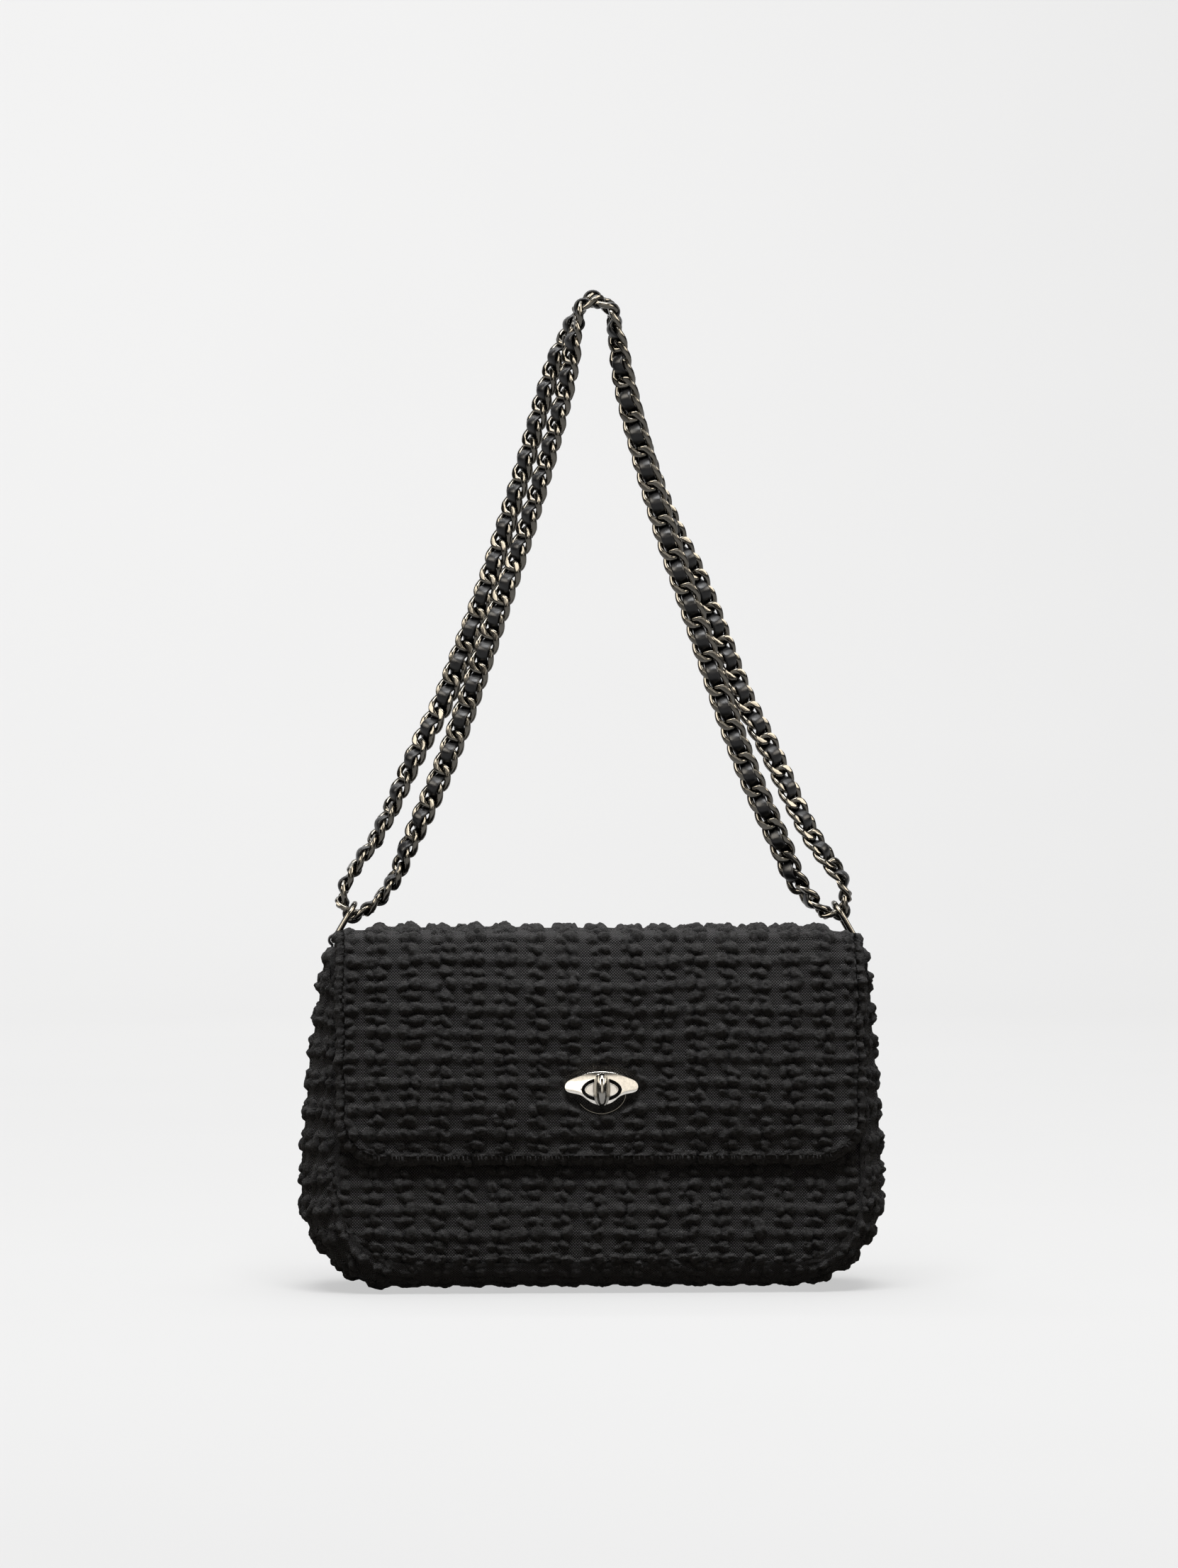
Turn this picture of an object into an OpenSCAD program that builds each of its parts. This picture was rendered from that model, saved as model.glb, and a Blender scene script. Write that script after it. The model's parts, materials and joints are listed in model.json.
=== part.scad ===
// Flap handbag in chunky tweed with a turn lock and a chain strap laced with leather.
// Frame: +Z up, the front faces -Y, the origin is on the ground under the middle of the base.

/* [Bag body] */
// Width across the swell of the side gussets
bag_w = 250; // [236:1:280]
// Height to the top of the closed flap
bag_h = 153; // [140:1:180]
// Depth between the planes of the front and back panels, at the ground
base_depth = 76; // [72:1:100]
// Depth between the same planes, at the top of the flap
top_depth = 44; // [42:1:56]
// Swell of the side gussets beyond the panels' seams, where they are fullest
gusset_swell = 14; // [11:0.5:18]
// Radius of the panels' lower corners
corner_r = 30; // [24:1:40]
// Height of the panels' bottom seam above the ground
seam_z = 11.5; // [10:0.5:14]
// Swell of the gusset beyond the seam, at its top
top_swell = 6; // [4:0.5:9]

/* [Layers] */
// Thickness of the tweed
cloth_t = 3.2; // [2.6:0.1:3.6]
// Thickness of the stiffening boards and of the gusset's padding
board_t = 1; // [0.8:0.1:1.4]
// Thickness of the lining
lining_t = 1; // [0.8:0.1:1.2]
// Air between layers that are sewn together
layer_gap = 0.1; // [0.05:0.05:0.2]

/* [Flap] */
// Distance of the flap's sides inside the panels' seams
flap_inset = 3; // [2:0.5:8]
// Height of the flap's lower edge above the ground
flap_low = 55; // [45:1:62]
// Radius of the flap's lower corners
flap_corner_r = 17; // [10:1:24]
// Inner radius of the bend over the top front edge
fold_r = 6; // [5:0.5:8]
// Distance of the flap's rear hinge line behind the middle of the bag
hinge_y = 6; // [4:0.5:7]
// Air between the front panel and the closed flap
flap_gap = 0.4; // [0.3:0.1:0.8]

/* [Turn lock] */
// Height of the lock's centre above the ground
lock_z = 85; // [75:1:95]
// Width of the plate on the flap
plate_w = 30; // [29:0.5:34]
// Height of the plate on the flap
plate_h = 17.2; // [16.5:0.1:20]
// Thickness of the plate on the flap
plate_t = 1.2; // [0.8:0.1:1.6]
// Width of the eye through the plate and the flap
eye_w = 17.4; // [17:0.1:18]
// Height of the eye
eye_h = 9.8; // [9.4:0.1:10.2]
// Width of the boss that stands in the eye
boss_w = 14; // [12.5:0.1:14.5]
// Height of the boss
boss_h = 7.4; // [6.5:0.1:7.6]
// Length of the knob, upright when locked
knob_len = 13.8; // [12:0.1:14.4]
// Width of the knob
knob_w = 7.2; // [6:0.1:7.4]
// Thickness of the knob's raised fin
fin_t = 2.8; // [2.4:0.1:3.4]
// Height of the fin above the knob's base
fin_h = 4; // [3:0.1:5]

/* [Rings and tabs] */
// Thickness of the ring wire
ring_wire = 2.4; // [2:0.1:2.8]
// Height of the ring between the middles of its bar and its bow
ring_h = 18; // [17:0.5:22]
// Lean of each ring towards the middle
ring_lean = 30; // [24:1:34]
// Distance of the rings and the strap behind the middle of the bag
strap_y = 16; // [15:0.5:17]
// Width of each leather tab
tab_w = 10.8; // [8:0.1:11.2]
// Outer radius of the tab's eye round the ring's bar
tab_r = 3.2; // [2.8:0.1:3.6]

/* [Chain] */
// Height of the front run's peak
strap_peak = 421; // [400:1:440]
// Rise of the rear run's peak above the front one
rear_rise = 2; // [0:0.5:4]
// Length that each link adds to the chain
link_pitch = 7.65; // [7.4:0.05:8]
// Thickness of the link wire
link_wire = 2.3; // [2:0.1:2.4]
// Width of a link
link_w = 11.4; // [11:0.1:12]
// Play between joined links
link_gap = 0.5; // [0.4:0.05:0.6]
// Width of the leather lace
lace_w = 3.5; // [2.4:0.1:3.6]
// Thickness of the leather lace
lace_t = 1; // [0.8:0.05:1]

/* [Hidden] */

$fn = 64;

// Overrun of a cut past the faces that it goes through
over = 1;
// Gap between pieces that move past each other
joint_gap = 0.3;
// Cut that makes the base flat
base_cut = 0.5;

// The lean of the panels: they meet the ground at base_half and close in towards the top
base_half = base_depth / 2;
lean = atan((base_depth - top_depth) / 2 / bag_h);
flap_t = cloth_t + board_t + lining_t + 2 * layer_gap;
panel_half = bag_w / 2 - gusset_swell;
flap_half = panel_half - flap_inset;

// The bend over the top front edge, seen from the side
fold_z = bag_h - flap_t - fold_r;
fold_y = -base_half + (fold_z * sin(lean) + fold_r - flap_gap) / cos(lean);
fold_s = (fold_y + base_half) * sin(lean) + fold_z * cos(lean);

// The rounded shoulder behind the mouth, seen from the side
shoulder_r = 8;
shoulder_z = bag_h - shoulder_r;
shoulder_y = base_half - (shoulder_z * sin(lean) + shoulder_r) / cos(lean);
shoulder_s = (base_half - shoulder_y) * sin(lean) + shoulder_z * cos(lean);

// The rims: the front panel's top edge, the gusset's, and the back panel's outside the shoulder
rim_rise = 0.5;
rim_z = fold_z + rim_rise;
rim_r = 6;
gusset_drop = 2.5;
gusset_top = rim_z - gusset_drop;
band_inset = 19;
band_half = panel_half - band_inset;
back_rim_z = rim_z;
back_rim_r = 12;

// Inset of the inner boards and linings from the seam, past the gusset's own layers
inner_inset = cloth_t + board_t + 3 * layer_gap + joint_gap;

// The lock's layers, measured outwards from the face of the front panel
lock_s = lock_z / cos(lean);
flap_face = flap_gap + flap_t;
base_plate_w = 25;
base_plate_h = 13;
base_plate_t = 1.2;
boss_top = flap_face + plate_t;
knob_low = boss_top + joint_gap;
knob_base_t = 1.4;
knob_step_t = 0.8;
knob_step_share = 0.72;
spindle_r = 1.5;
spindle_gap = 0.05;
retainer_r = 3;
spring_r = 2.9;
lock_well_r = 4.2;
backing_hole_r = 3.4;
backing_w = 25;
backing_h = 12;
frame_w = 27;
frame_h = 14.5;
eye_room = 0.5;
prong_w = 2.4;
prong_t = 0.8;
prong_gap = 0.2;
base_prong_x = 8.6;
plate_prong_x = 11.3;
board_low = -cloth_t - layer_gap - board_t;
plate_shares = [[1, 0.06], [0.74, 0.66], [0.2, 0.96], [0, 1]];

// The rings lean inwards from their bars, and the chain turns round their bows
tab_rise = 7.5;
tab_out = 1;
tab_x = panel_half + tab_out;
tab_z = gusset_top + tab_rise;
tab_t = 2.2;
bar_gap = 0.35;
link_side = (link_w - link_wire) / 2;
link_reach = link_side * cos(45) + link_wire / 2;
bow_room = 1.4;
ring_half_w = link_reach + ring_wire / 2 + bow_room;
bow_x = tab_x - ring_h * sin(ring_lean);
bow_z = tab_z + ring_h * cos(ring_lean);
turn_pitch_share = 1.2;
turn_r = turn_pitch_share * link_pitch;
turn_clear_share = 0.77;
turn_lift = turn_clear_share * turn_r - link_reach - ring_wire / 2 - joint_gap;
turn_x = bow_x - turn_lift * sin(ring_lean);
turn_z = bow_z + turn_lift * cos(ring_lean);
inner_x = turn_x - turn_r * cos(ring_lean);
inner_z = turn_z - turn_r * sin(ring_lean);
outer_x = turn_x + turn_r * cos(ring_lean);
outer_z = turn_z + turn_r * sin(ring_lean);
run_gap = 0.4;
run_side = link_reach + run_gap / 2;

// The strap's runs from a ring to the peak: the share of the way from the middle out to the
// ring, the share of the way up, and the share of the sideways step that parts the two runs
front_route_shares = [
    [0.92, 0.047, 0.2], [0.857, 0.1, 0.5], [0.774, 0.164, 0.8], [0.685, 0.238, 1],
    [0.596, 0.325, 1], [0.508, 0.42, 1], [0.425, 0.51, 1], [0.342, 0.596, 1], [0.265, 0.685, 1],
    [0.187, 0.785, 1], [0.13, 0.867, 1], [0.106, 0.92, 1]
];
rear_low_shares = [
    [0.949, 0.029, 0.1], [0.871, 0.074, 0.35], [0.798, 0.132, 0.7], [0.725, 0.202, 1],
    [0.66, 0.26, 1], [0.591, 0.316, 1], [0.525, 0.388, 1], [0.449, 0.475, 1]
];
rear_left_shares = [
    [0.385, 0.558, 1], [0.327, 0.64, 1], [0.267, 0.725, 1], [0.21, 0.814, 1], [0.148, 0.9, 1],
    [0.1, 0.945, 1]
];
rear_right_shares = [
    [0.388, 0.539, 1], [0.315, 0.6, 1], [0.251, 0.663, 1], [0.196, 0.73, 1], [0.151, 0.8, 1],
    [0.114, 0.872, 1], [0.093, 0.92, 1]
];

function front_point(share, side) = [
    side * share[0] * inner_x,
    strap_y - share[2] * run_side,
    inner_z + share[1] * (strap_peak - inner_z)
];
function rear_point(share, side) = [
    side * share[0] * outer_x,
    strap_y + share[2] * run_side,
    outer_z + share[1] * (rear_top - outer_z)
];
function backwards(list) = [for (i = [len(list) - 1:-1:0]) list[i]];

// A ring's turn, from the inner run at 0 degrees, under the bow, to the outer run at 180
turn_step = 30;
function turn_point(angle, side) = [
    side * (turn_x - turn_r * (cos(ring_lean) * cos(angle) - sin(ring_lean) * sin(angle))),
    strap_y,
    turn_z - turn_r * (sin(ring_lean) * cos(angle) + cos(ring_lean) * sin(angle))
];

// The bend over a run's peak, from the right side round to the left
peak_pitch_share = 1.27;
peak_r = peak_pitch_share * link_pitch;
peak_turn = 72;
peak_step = 24;
function peak_point(angle, top, side) = [
    peak_r * sin(angle),
    strap_y + side * run_side,
    top - peak_r * (1 - cos(angle))
];

rear_right = concat(rear_low_shares, rear_right_shares);
rear_left = concat(rear_low_shares, rear_left_shares);
left_turn = [for (angle = [180:-turn_step:0]) turn_point(angle, -1)];
front_run = concat(
    [for (share = front_route_shares) front_point(share, -1)],
    [for (angle = [-peak_turn:peak_step:peak_turn]) peak_point(angle, strap_peak, -1)],
    [for (share = backwards(front_route_shares)) front_point(share, 1)]
);
right_turn = [for (angle = [0:turn_step:180]) turn_point(angle, 1)];
rear_top = strap_peak + rear_rise;
rear_run = concat(
    [for (share = rear_right) rear_point(share, 1)],
    [for (angle = [peak_turn:-peak_step:-peak_turn]) peak_point(angle, rear_top, 1)],
    [for (share = backwards(rear_left)) rear_point(share, -1)]
);
route = concat(left_turn, front_run, right_turn, rear_run);

// The chain's middle line is a smooth closed curve through the route's points
function unit(v) = v / norm(v);
function smooth_point(a, b, c, d, t) =
    let (step = norm(c - b), m = step * unit(c - a), n = step * unit(d - b))
    (2 * t ^ 3 - 3 * t ^ 2 + 1) * b + (t ^ 3 - 2 * t ^ 2 + t) * m
    + (3 * t ^ 2 - 2 * t ^ 3) * c + (t ^ 3 - t ^ 2) * n;
route_steps = 6;
line = [
    for (i = [0:len(route) - 1], k = [0:route_steps - 1])
        smooth_point(
            route[(i + len(route) - 1) % len(route)], route[i],
            route[(i + 1) % len(route)], route[(i + 2) % len(route)], k / route_steps
        )
];
line_end = len(line);
run_lengths = [
    for (
        i = 0, run = 0;
        i <= line_end;
        run = run + norm(line[(i + 1) % line_end] - line[i % line_end]), i = i + 1
    ) run
];
line_tables = [
    for (axis = [0:2]) [for (i = [0:line_end]) [run_lengths[i], line[i % line_end][axis]]]
];
function line_at(run) = [for (axis = [0:2]) lookup(run, line_tables[axis])];
loop_length = run_lengths[line_end];
link_count = 2 * round(loop_length / link_pitch / 2);
link_step = loop_length / link_count;
first_link = -link_step / 2;
function joint_run(i) = (first_link + i * link_step + 2 * loop_length) % loop_length;
joints = [for (i = [0:link_count - 1]) line_at(joint_run(i))];
function joint_at(i) = joints[(i + link_count) % link_count];

// Counts along the loop: the left turn comes first, then the front run, the right turn and
// the rear run
turn_links = 4;
right_turn_at = run_lengths[route_steps * (len(left_turn) + len(front_run))];
front_first = turn_links;
right_first = round((right_turn_at - first_link) / link_step);
rear_first = right_first + turn_links;

function link_axis(i) = unit(joint_at(i + 1) - joint_at(i));
function link_front(i) =
    let (axis = link_axis(i), y = [0, 1, 0]) unit(y - (y * axis) * axis);

// Placing

module front_frame() {
    translate([0, -base_half, 0]) rotate([90 - lean, 0, 0]) children();
}

module back_frame() {
    mirror([0, 1, 0]) front_frame() children();
}

module lock_frame() {
    front_frame() translate([0, lock_s, 0]) children();
}

// A layer of a leaning panel between two distances from the panel's face
module layer(low, high) {
    translate([0, 0, low]) linear_extrude(high - low) children();
}

// A profile in the side view, drawn in Y and Z, run across the bag
module across(width) {
    rotate([90, 0, 90]) linear_extrude(width, center = true) children();
}

// A plate with its lower and upper corners rounded
module round_plate(half, low, high, low_r, high_r) {
    translate([-half, low + low_r]) square([2 * half, high - high_r - low - low_r]);
    if (low_r > 0) {
        translate([low_r - half, low]) square([2 * (half - low_r), 2 * low_r]);
        for (side = [-1, 1]) translate([side * (half - low_r), low + low_r]) circle(low_r);
    }
    if (high_r > 0) {
        translate([high_r - half, high - 2 * high_r]) square([2 * (half - high_r), 2 * high_r]);
        for (side = [-1, 1]) translate([side * (half - high_r), high - high_r]) circle(high_r);
    }
}

module lens(width, height) {
    radius = (width ^ 2 + height ^ 2) / 4 / height;
    intersection() {
        translate([0, radius - height / 2]) circle(radius, $fn = 128);
        translate([0, height / 2 - radius]) circle(radius, $fn = 128);
    }
}

// Part of a disc between two angles
module wedge(radius, from, to) {
    far = 2 * radius;
    middle = (from + to) / 2;
    intersection() {
        circle(radius);
        polygon([
            [0, 0], far * [cos(from), sin(from)],
            far * [cos(middle), sin(middle)], far * [cos(to), sin(to)]
        ]);
    }
}

// Part of a ring between two angles
module sector(inner, outer, from, to) {
    difference() {
        wedge(outer, from, to);
        circle(inner);
    }
}

module prongs(distance, low, high, room) {
    for (side = [-1, 1])
        translate([side * distance, 0, (low + high) / 2])
            cube([prong_t + 2 * room, prong_w + 2 * room, high - low], center = true);
}

// Outer shell

module panel_outline(inset, top) {
    round_plate(
        panel_half - inset, (seam_z + inset) / cos(lean), top / cos(lean),
        corner_r - inset, rim_r
    );
}

module back_outline(inset) {
    round_plate(
        panel_half - inset, (seam_z + inset) / cos(lean), back_rim_z / cos(lean),
        corner_r - inset, back_rim_r
    );
    translate([-band_half, back_rim_z - back_rim_r])
        square([2 * band_half, shoulder_s - layer_gap - back_rim_z + back_rim_r]);
}

module front_panel() {
    color("#26262a") front_frame() difference() {
        layer(-cloth_t, 0) panel_outline(0, rim_z);
        translate([0, lock_s, 0]) {
            translate([0, 0, -base_plate_t - layer_gap])
                linear_extrude(base_plate_t + over)
                    lens(base_plate_w + 2 * layer_gap, base_plate_h + 2 * layer_gap);
            translate([0, 0, -cloth_t - over])
                cylinder(r = lock_well_r, h = cloth_t + over);
            prongs(base_prong_x, -cloth_t - over, 0, prong_gap);
        }
    }
}

module back_panel() {
    color("#26262a") back_frame() layer(-cloth_t, 0) back_outline(0);
}

// The side view of the shoulder and the flat strip in front of it, filled down to the
// shoulder's middle
module shoulder_fill(inset, overrun, from) {
    edge = hinge_y + joint_gap - overrun;
    height = shoulder_r - inset;
    translate([edge, shoulder_z - overrun]) square([shoulder_y - edge, height + overrun]);
    translate([shoulder_y, shoulder_z]) wedge(height, from, 90 + lean);
}

// The cloth goes on from the back panel over the shoulder to the flap's hinge line
module shoulder_profile(outer, inner) {
    difference() {
        shoulder_fill(outer, 0, lean);
        shoulder_fill(inner, over, 0);
    }
}

module top_band() {
    color("#26262a") across(2 * band_half) shoulder_profile(0, cloth_t);
}

module top_band_lining() {
    color("#3a3a3d") across(2 * band_half) shoulder_profile(flap_t - lining_t, flap_t);
}

// The gusset runs down one side, under the base and up the other side.
// Each station gives the seam's point, its outward direction and the swell beyond it.
// Its faces are cut along the same diagonals on both sides, so that the layers lie parallel.
side_steps = 6;
arc_steps = 6;
base_swell = seam_z + base_cut;
swell_low = seam_z + corner_r;
swell_power = 1.6;
function side_swell(z) =
    let (way = max(0, (z - swell_low) / (gusset_top - swell_low)))
    gusset_swell - (gusset_swell - top_swell) * way ^ swell_power;
left_stations = concat(
    [
        for (i = [side_steps:-1:1])
            let (z = swell_low + i / side_steps * (gusset_top - swell_low))
            [[-panel_half, z], [-1, 0], side_swell(z)]
    ],
    [
        for (i = [0:arc_steps])
            let (angle = 90 * i / arc_steps, out = [-cos(angle), -sin(angle)])
            [
                [corner_r - panel_half, swell_low] + corner_r * out,
                out,
                gusset_swell + (base_swell - gusset_swell) * i / arc_steps
            ]
    ]
);
function mirrored(station) =
    [[-station[0][0], station[0][1]], [-station[1][0], station[1][1]], station[2]];
stations = concat(left_stations, [for (s = backwards(left_stations)) mirrored(s)]);

// The swell across the gusset's depth, from 0 at one seam through 1 to 0 at the other.
// It is round on the sides and flat under the base.
across_shares = [-1, -0.93, -0.8, -0.55, -0.2, 0.2, 0.55, 0.8, 0.93, 1];
round_power = 2;
flat_power = 6;
rise_power = 0.75;
function swell_share(share, out) =
    let (power = round_power + (flat_power - round_power) * max(0, -out[1]))
    (1 - abs(share) ^ power) ^ rise_power;

module gusset_band(outer, inner, depth_inset) {
    rows = len(across_shares);
    function point(s, share, inset) =
        let (
            at = s[0] + (s[2] * swell_share(share, s[1]) - inset) * s[1],
            room = (cloth_t + depth_inset + layer_gap) / cos(lean),
            half = base_half - at[1] * tan(lean) - room
        )
        [at[0], share * half, at[1]];
    rings = [
        for (s = stations) concat(
            [for (share = across_shares) point(s, share, outer)],
            [for (share = backwards(across_shares)) point(s, share, inner)]
        )
    ];
    count = 2 * rows;
    points = [for (ring = rings) each ring];
    last = len(rings) - 1;
    faces = concat(
        [
            for (i = [0:last - 1], k = [0:count - 1], half = [0, 1])
                let (
                    a = i * count + k, b = i * count + (k + 1) % count,
                    c = a + count, d = b + count
                )
                k < rows ? (half == 0 ? [a, c, b] : [b, c, d])
                : (half == 0 ? [a, c, d] : [a, d, b])
        ],
        [for (k = [0:rows - 2]) each [[k, k + 1, count - 1 - k], [k + 1, count - 2 - k, count - 1 - k]]],
        [
            for (k = [0:rows - 2])
                let (m = last * count)
                each [
                    [m + k, m + count - 1 - k, m + k + 1],
                    [m + k + 1, m + count - 1 - k, m + count - 2 - k]
                ]
        ]
    );
    polyhedron(points, faces);
}

module gusset() {
    color("#26262a") intersection() {
        gusset_band(0, cloth_t, 0);
        translate([-bag_w, -base_depth, 0]) cube([2 * bag_w, 2 * base_depth, bag_h]);
    }
}

module gusset_padding() {
    low = cloth_t + layer_gap;
    color("#8c8a86") gusset_band(low, low + board_t, layer_gap);
}

module gusset_lining() {
    low = cloth_t + board_t + 2 * layer_gap;
    color("#3a3a3d")
        gusset_band(low, low + lining_t, board_t + lining_t + 3 * layer_gap);
}

module front_board() {
    color("#8c8a86") front_frame() difference() {
        layer(board_low, board_low + board_t) panel_outline(inner_inset, rim_z);
        translate([0, lock_s, board_low - over])
            linear_extrude(board_t + 2 * over)
                lens(backing_w + 2 * layer_gap, backing_h + 2 * layer_gap);
    }
}

module back_board() {
    color("#8c8a86") back_frame()
        layer(board_low, board_low + board_t) back_outline(inner_inset);
}

module front_lining() {
    high = board_low - layer_gap;
    color("#3a3a3d") front_frame()
        layer(high - lining_t, high) panel_outline(inner_inset, rim_z);
}

module back_lining() {
    high = board_low - layer_gap;
    color("#3a3a3d") back_frame() layer(high - lining_t, high) back_outline(inner_inset);
}

// Turn lock on the body

module lock_base() {
    color("#8f8b86") lock_frame() {
        difference() {
            union() {
                translate([0, 0, -base_plate_t])
                    linear_extrude(base_plate_t) lens(base_plate_w, base_plate_h);
                linear_extrude(boss_top) lens(boss_w, boss_h);
            }
            translate([0, 0, -base_plate_t - over])
                cylinder(r = spindle_r + spindle_gap, h = base_plate_t + boss_top + 2 * over);
        }
        prongs(base_prong_x, board_low, -base_plate_t, 0);
    }
}

module lock_backing() {
    color("#8f8b86") lock_frame() translate([0, 0, board_low]) difference() {
        linear_extrude(board_t) lens(backing_w, backing_h);
        translate([0, 0, -over]) cylinder(r = backing_hole_r, h = board_t + 2 * over);
        prongs(base_prong_x, -over, board_t + over, prong_gap);
    }
}

// A cup washer between the base and the retainer holds the knob at its quarter turns
module lock_spring() {
    high = -base_plate_t - layer_gap;
    low = -cloth_t;
    color("#8f8b86") lock_frame() translate([0, 0, low]) difference() {
        cylinder(r1 = retainer_r, r2 = spring_r - spindle_r / 2, h = high - low);
        translate([0, 0, -over])
            cylinder(r = spindle_r + spindle_gap, h = high - low + 2 * over);
    }
}

// Turning pieces of the lock

module turn_knob() {
    step_low = knob_low + knob_base_t;
    fin_low = step_low + knob_step_t;
    fin_half = knob_len * knob_step_share / 2;
    fin_round = (fin_half ^ 2 + fin_h ^ 2) / 2 / fin_h;
    color("#b9b4ac") lock_frame() {
        translate([0, 0, knob_low]) linear_extrude(knob_base_t)
            rotate(90) lens(knob_len, knob_w);
        translate([0, 0, step_low]) linear_extrude(knob_step_t)
            rotate(90) lens(knob_step_share * knob_len, knob_step_share * knob_w);
        intersection() {
            translate([0, 0, fin_low + fin_h - fin_round])
                rotate([0, 90, 0]) cylinder(r = fin_round, h = fin_t, center = true);
            translate([-fin_t, -fin_half, step_low]) cube([2 * fin_t, 2 * fin_half, fin_round]);
        }
    }
}

module knob_spindle() {
    color("#b9b4ac") lock_frame() translate([0, 0, board_low])
        cylinder(r = spindle_r, h = knob_low - board_low);
}

module spindle_retainer() {
    color("#8f8b86") lock_frame() translate([0, 0, board_low]) difference() {
        cylinder(r = retainer_r, h = board_t - layer_gap);
        translate([0, 0, -over]) cylinder(r = spindle_r, h = board_t + 2 * over);
    }
}

// Flap: a flat top, a bend over the front edge, and the front with the eye for the lock

module flap_layer(from, to) {
    across_low = fold_y + joint_gap;
    translate([0, 0, bag_h - flap_t + from]) linear_extrude(to - from)
        translate([-flap_half, across_low])
            square([2 * flap_half, hinge_y - joint_gap - across_low]);
}

module fold_layer(from, to) {
    across(2 * flap_half) translate([fold_y, fold_z])
        sector(fold_r + from, fold_r + to, 90, 180 - lean);
}

module front_flap_layer(from, to) {
    front_frame() difference() {
        layer(flap_gap + from, flap_gap + to)
            round_plate(flap_half, flap_low / cos(lean), fold_s - joint_gap, flap_corner_r, 0);
        translate([0, lock_s, 0]) {
            translate([0, 0, flap_gap + from - over])
                linear_extrude(to - from + 2 * over)
                    lens(eye_w + 2 * eye_room, eye_h + 2 * eye_room);
            prongs(plate_prong_x, flap_gap + from - over, flap_gap + to + over, prong_gap);
        }
    }
}

board_from = lining_t + layer_gap;
cloth_from = board_from + board_t + layer_gap;

module flap_top_panel() {
    color("#26262a") flap_layer(cloth_from, flap_t);
}

module flap_top_board() {
    color("#8c8a86") flap_layer(board_from, board_from + board_t);
}

module flap_top_lining() {
    color("#3a3a3d") flap_layer(0, lining_t);
}

module flap_fold() {
    color("#26262a") fold_layer(cloth_from, flap_t);
}

module flap_fold_lining() {
    color("#3a3a3d") fold_layer(0, lining_t);
}

module flap_front_panel() {
    color("#26262a") front_flap_layer(cloth_from, flap_t);
}

module flap_front_board() {
    color("#8c8a86") front_flap_layer(board_from, board_from + board_t);
}

module flap_front_lining() {
    color("#3a3a3d") difference() {
        front_flap_layer(0, lining_t);
        lock_frame() translate([0, 0, flap_gap - over]) linear_extrude(lining_t + 2 * over)
            lens(frame_w + 2 * layer_gap, frame_h + 2 * layer_gap);
    }
}

module plate_outline() {
    half_w = plate_w / 2;
    half_h = plate_h / 2;
    polygon([
        for (side = [[1, 1], [-1, 1], [-1, -1], [1, -1]])
            let (shares = side[0] == side[1] ? plate_shares : backwards(plate_shares))
            for (share = shares)
                [side[0] * share[0] * half_w, side[1] * share[1] * half_h]
    ]);
}

module lock_plate() {
    color("#c9c5bd") lock_frame() {
        translate([0, 0, flap_face]) linear_extrude(plate_t) difference() {
            plate_outline();
            lens(eye_w, eye_h);
        }
        prongs(plate_prong_x, flap_gap, flap_face, 0);
    }
}

module lock_plate_frame() {
    color("#8f8b86") lock_frame() difference() {
        translate([0, 0, flap_gap]) linear_extrude(lining_t) difference() {
            lens(frame_w, frame_h);
            lens(eye_w, eye_h);
        }
        prongs(plate_prong_x, flap_gap - over, flap_gap + lining_t + over, prong_gap);
    }
}

// Tabs and rings

module tab(side) {
    color("#1b1b1d") translate([side * tab_x, strap_y, 0]) rotate([90, 0, 0])
        linear_extrude(tab_w, center = true) difference() {
            union() {
                translate([0, tab_z]) circle(tab_r);
                translate([-tab_t / 2, gusset_top + joint_gap])
                    square([tab_t, tab_rise - joint_gap]);
            }
            translate([0, tab_z]) circle(ring_wire / 2 + bar_gap);
        }
}

module left_tab() { tab(-1); }
module right_tab() { tab(1); }

// A D-shaped ring, drawn standing up from its bar, leaning towards the middle of the bag
module ring(side) {
    wire_r = ring_wire / 2;
    leg = ring_h - ring_half_w;
    color("#77726c") translate([side * tab_x, strap_y, tab_z])
        rotate([0, -side * ring_lean, 0]) rotate([0, 0, 90]) {
            rotate([0, 90, 0]) cylinder(r = wire_r, h = 2 * ring_half_w, center = true);
            for (end = [-1, 1]) translate([end * ring_half_w, 0, 0]) {
                sphere(wire_r);
                cylinder(r = wire_r, h = leg);
            }
            translate([0, 0, leg]) rotate([90, 0, 0])
                rotate_extrude(angle = 180) translate([ring_half_w, 0]) circle(wire_r);
        }
}

module left_ring() { ring(-1); }
module right_ring() { ring(1); }

// Chain: every link is a flat long ring, turned a quarter turn from its neighbours

module link() {
    wire_r = link_wire / 2;
    straight = link_step + link_gap + link_wire - 2 * link_side;
    for (end = [0, 1]) rotate([0, 0, 180 * end]) {
        translate([straight / 2, 0, 0]) rotate([0, 0, -90])
            rotate_extrude(angle = 180) translate([link_side, 0]) circle(wire_r, $fn = 32);
        translate([-straight / 2, link_side, 0]) rotate([0, 90, 0])
            cylinder(r = wire_r, h = straight, $fn = 32);
    }
}

// Places a link's length along the line between its joints, turned by half a quarter turn
module place_link(i) {
    middle = (joint_at(i) + joint_at(i + 1)) / 2;
    axis = link_axis(i);
    front = link_front(i);
    side = cross(front, axis);
    turn = i % 2 == 0 ? 45 : -45;
    flat = cos(turn) * side + sin(turn) * front;
    normal = cross(axis, flat);
    multmatrix([
        [axis[0], flat[0], normal[0], middle[0]],
        [axis[1], flat[1], normal[1], middle[1]],
        [axis[2], flat[2], normal[2], middle[2]],
        [0, 0, 0, 1]
    ]) children();
}

module links(first, count) {
    color("#6f6a63") for (i = [first:first + count - 1]) place_link(i) link();
}

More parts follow.
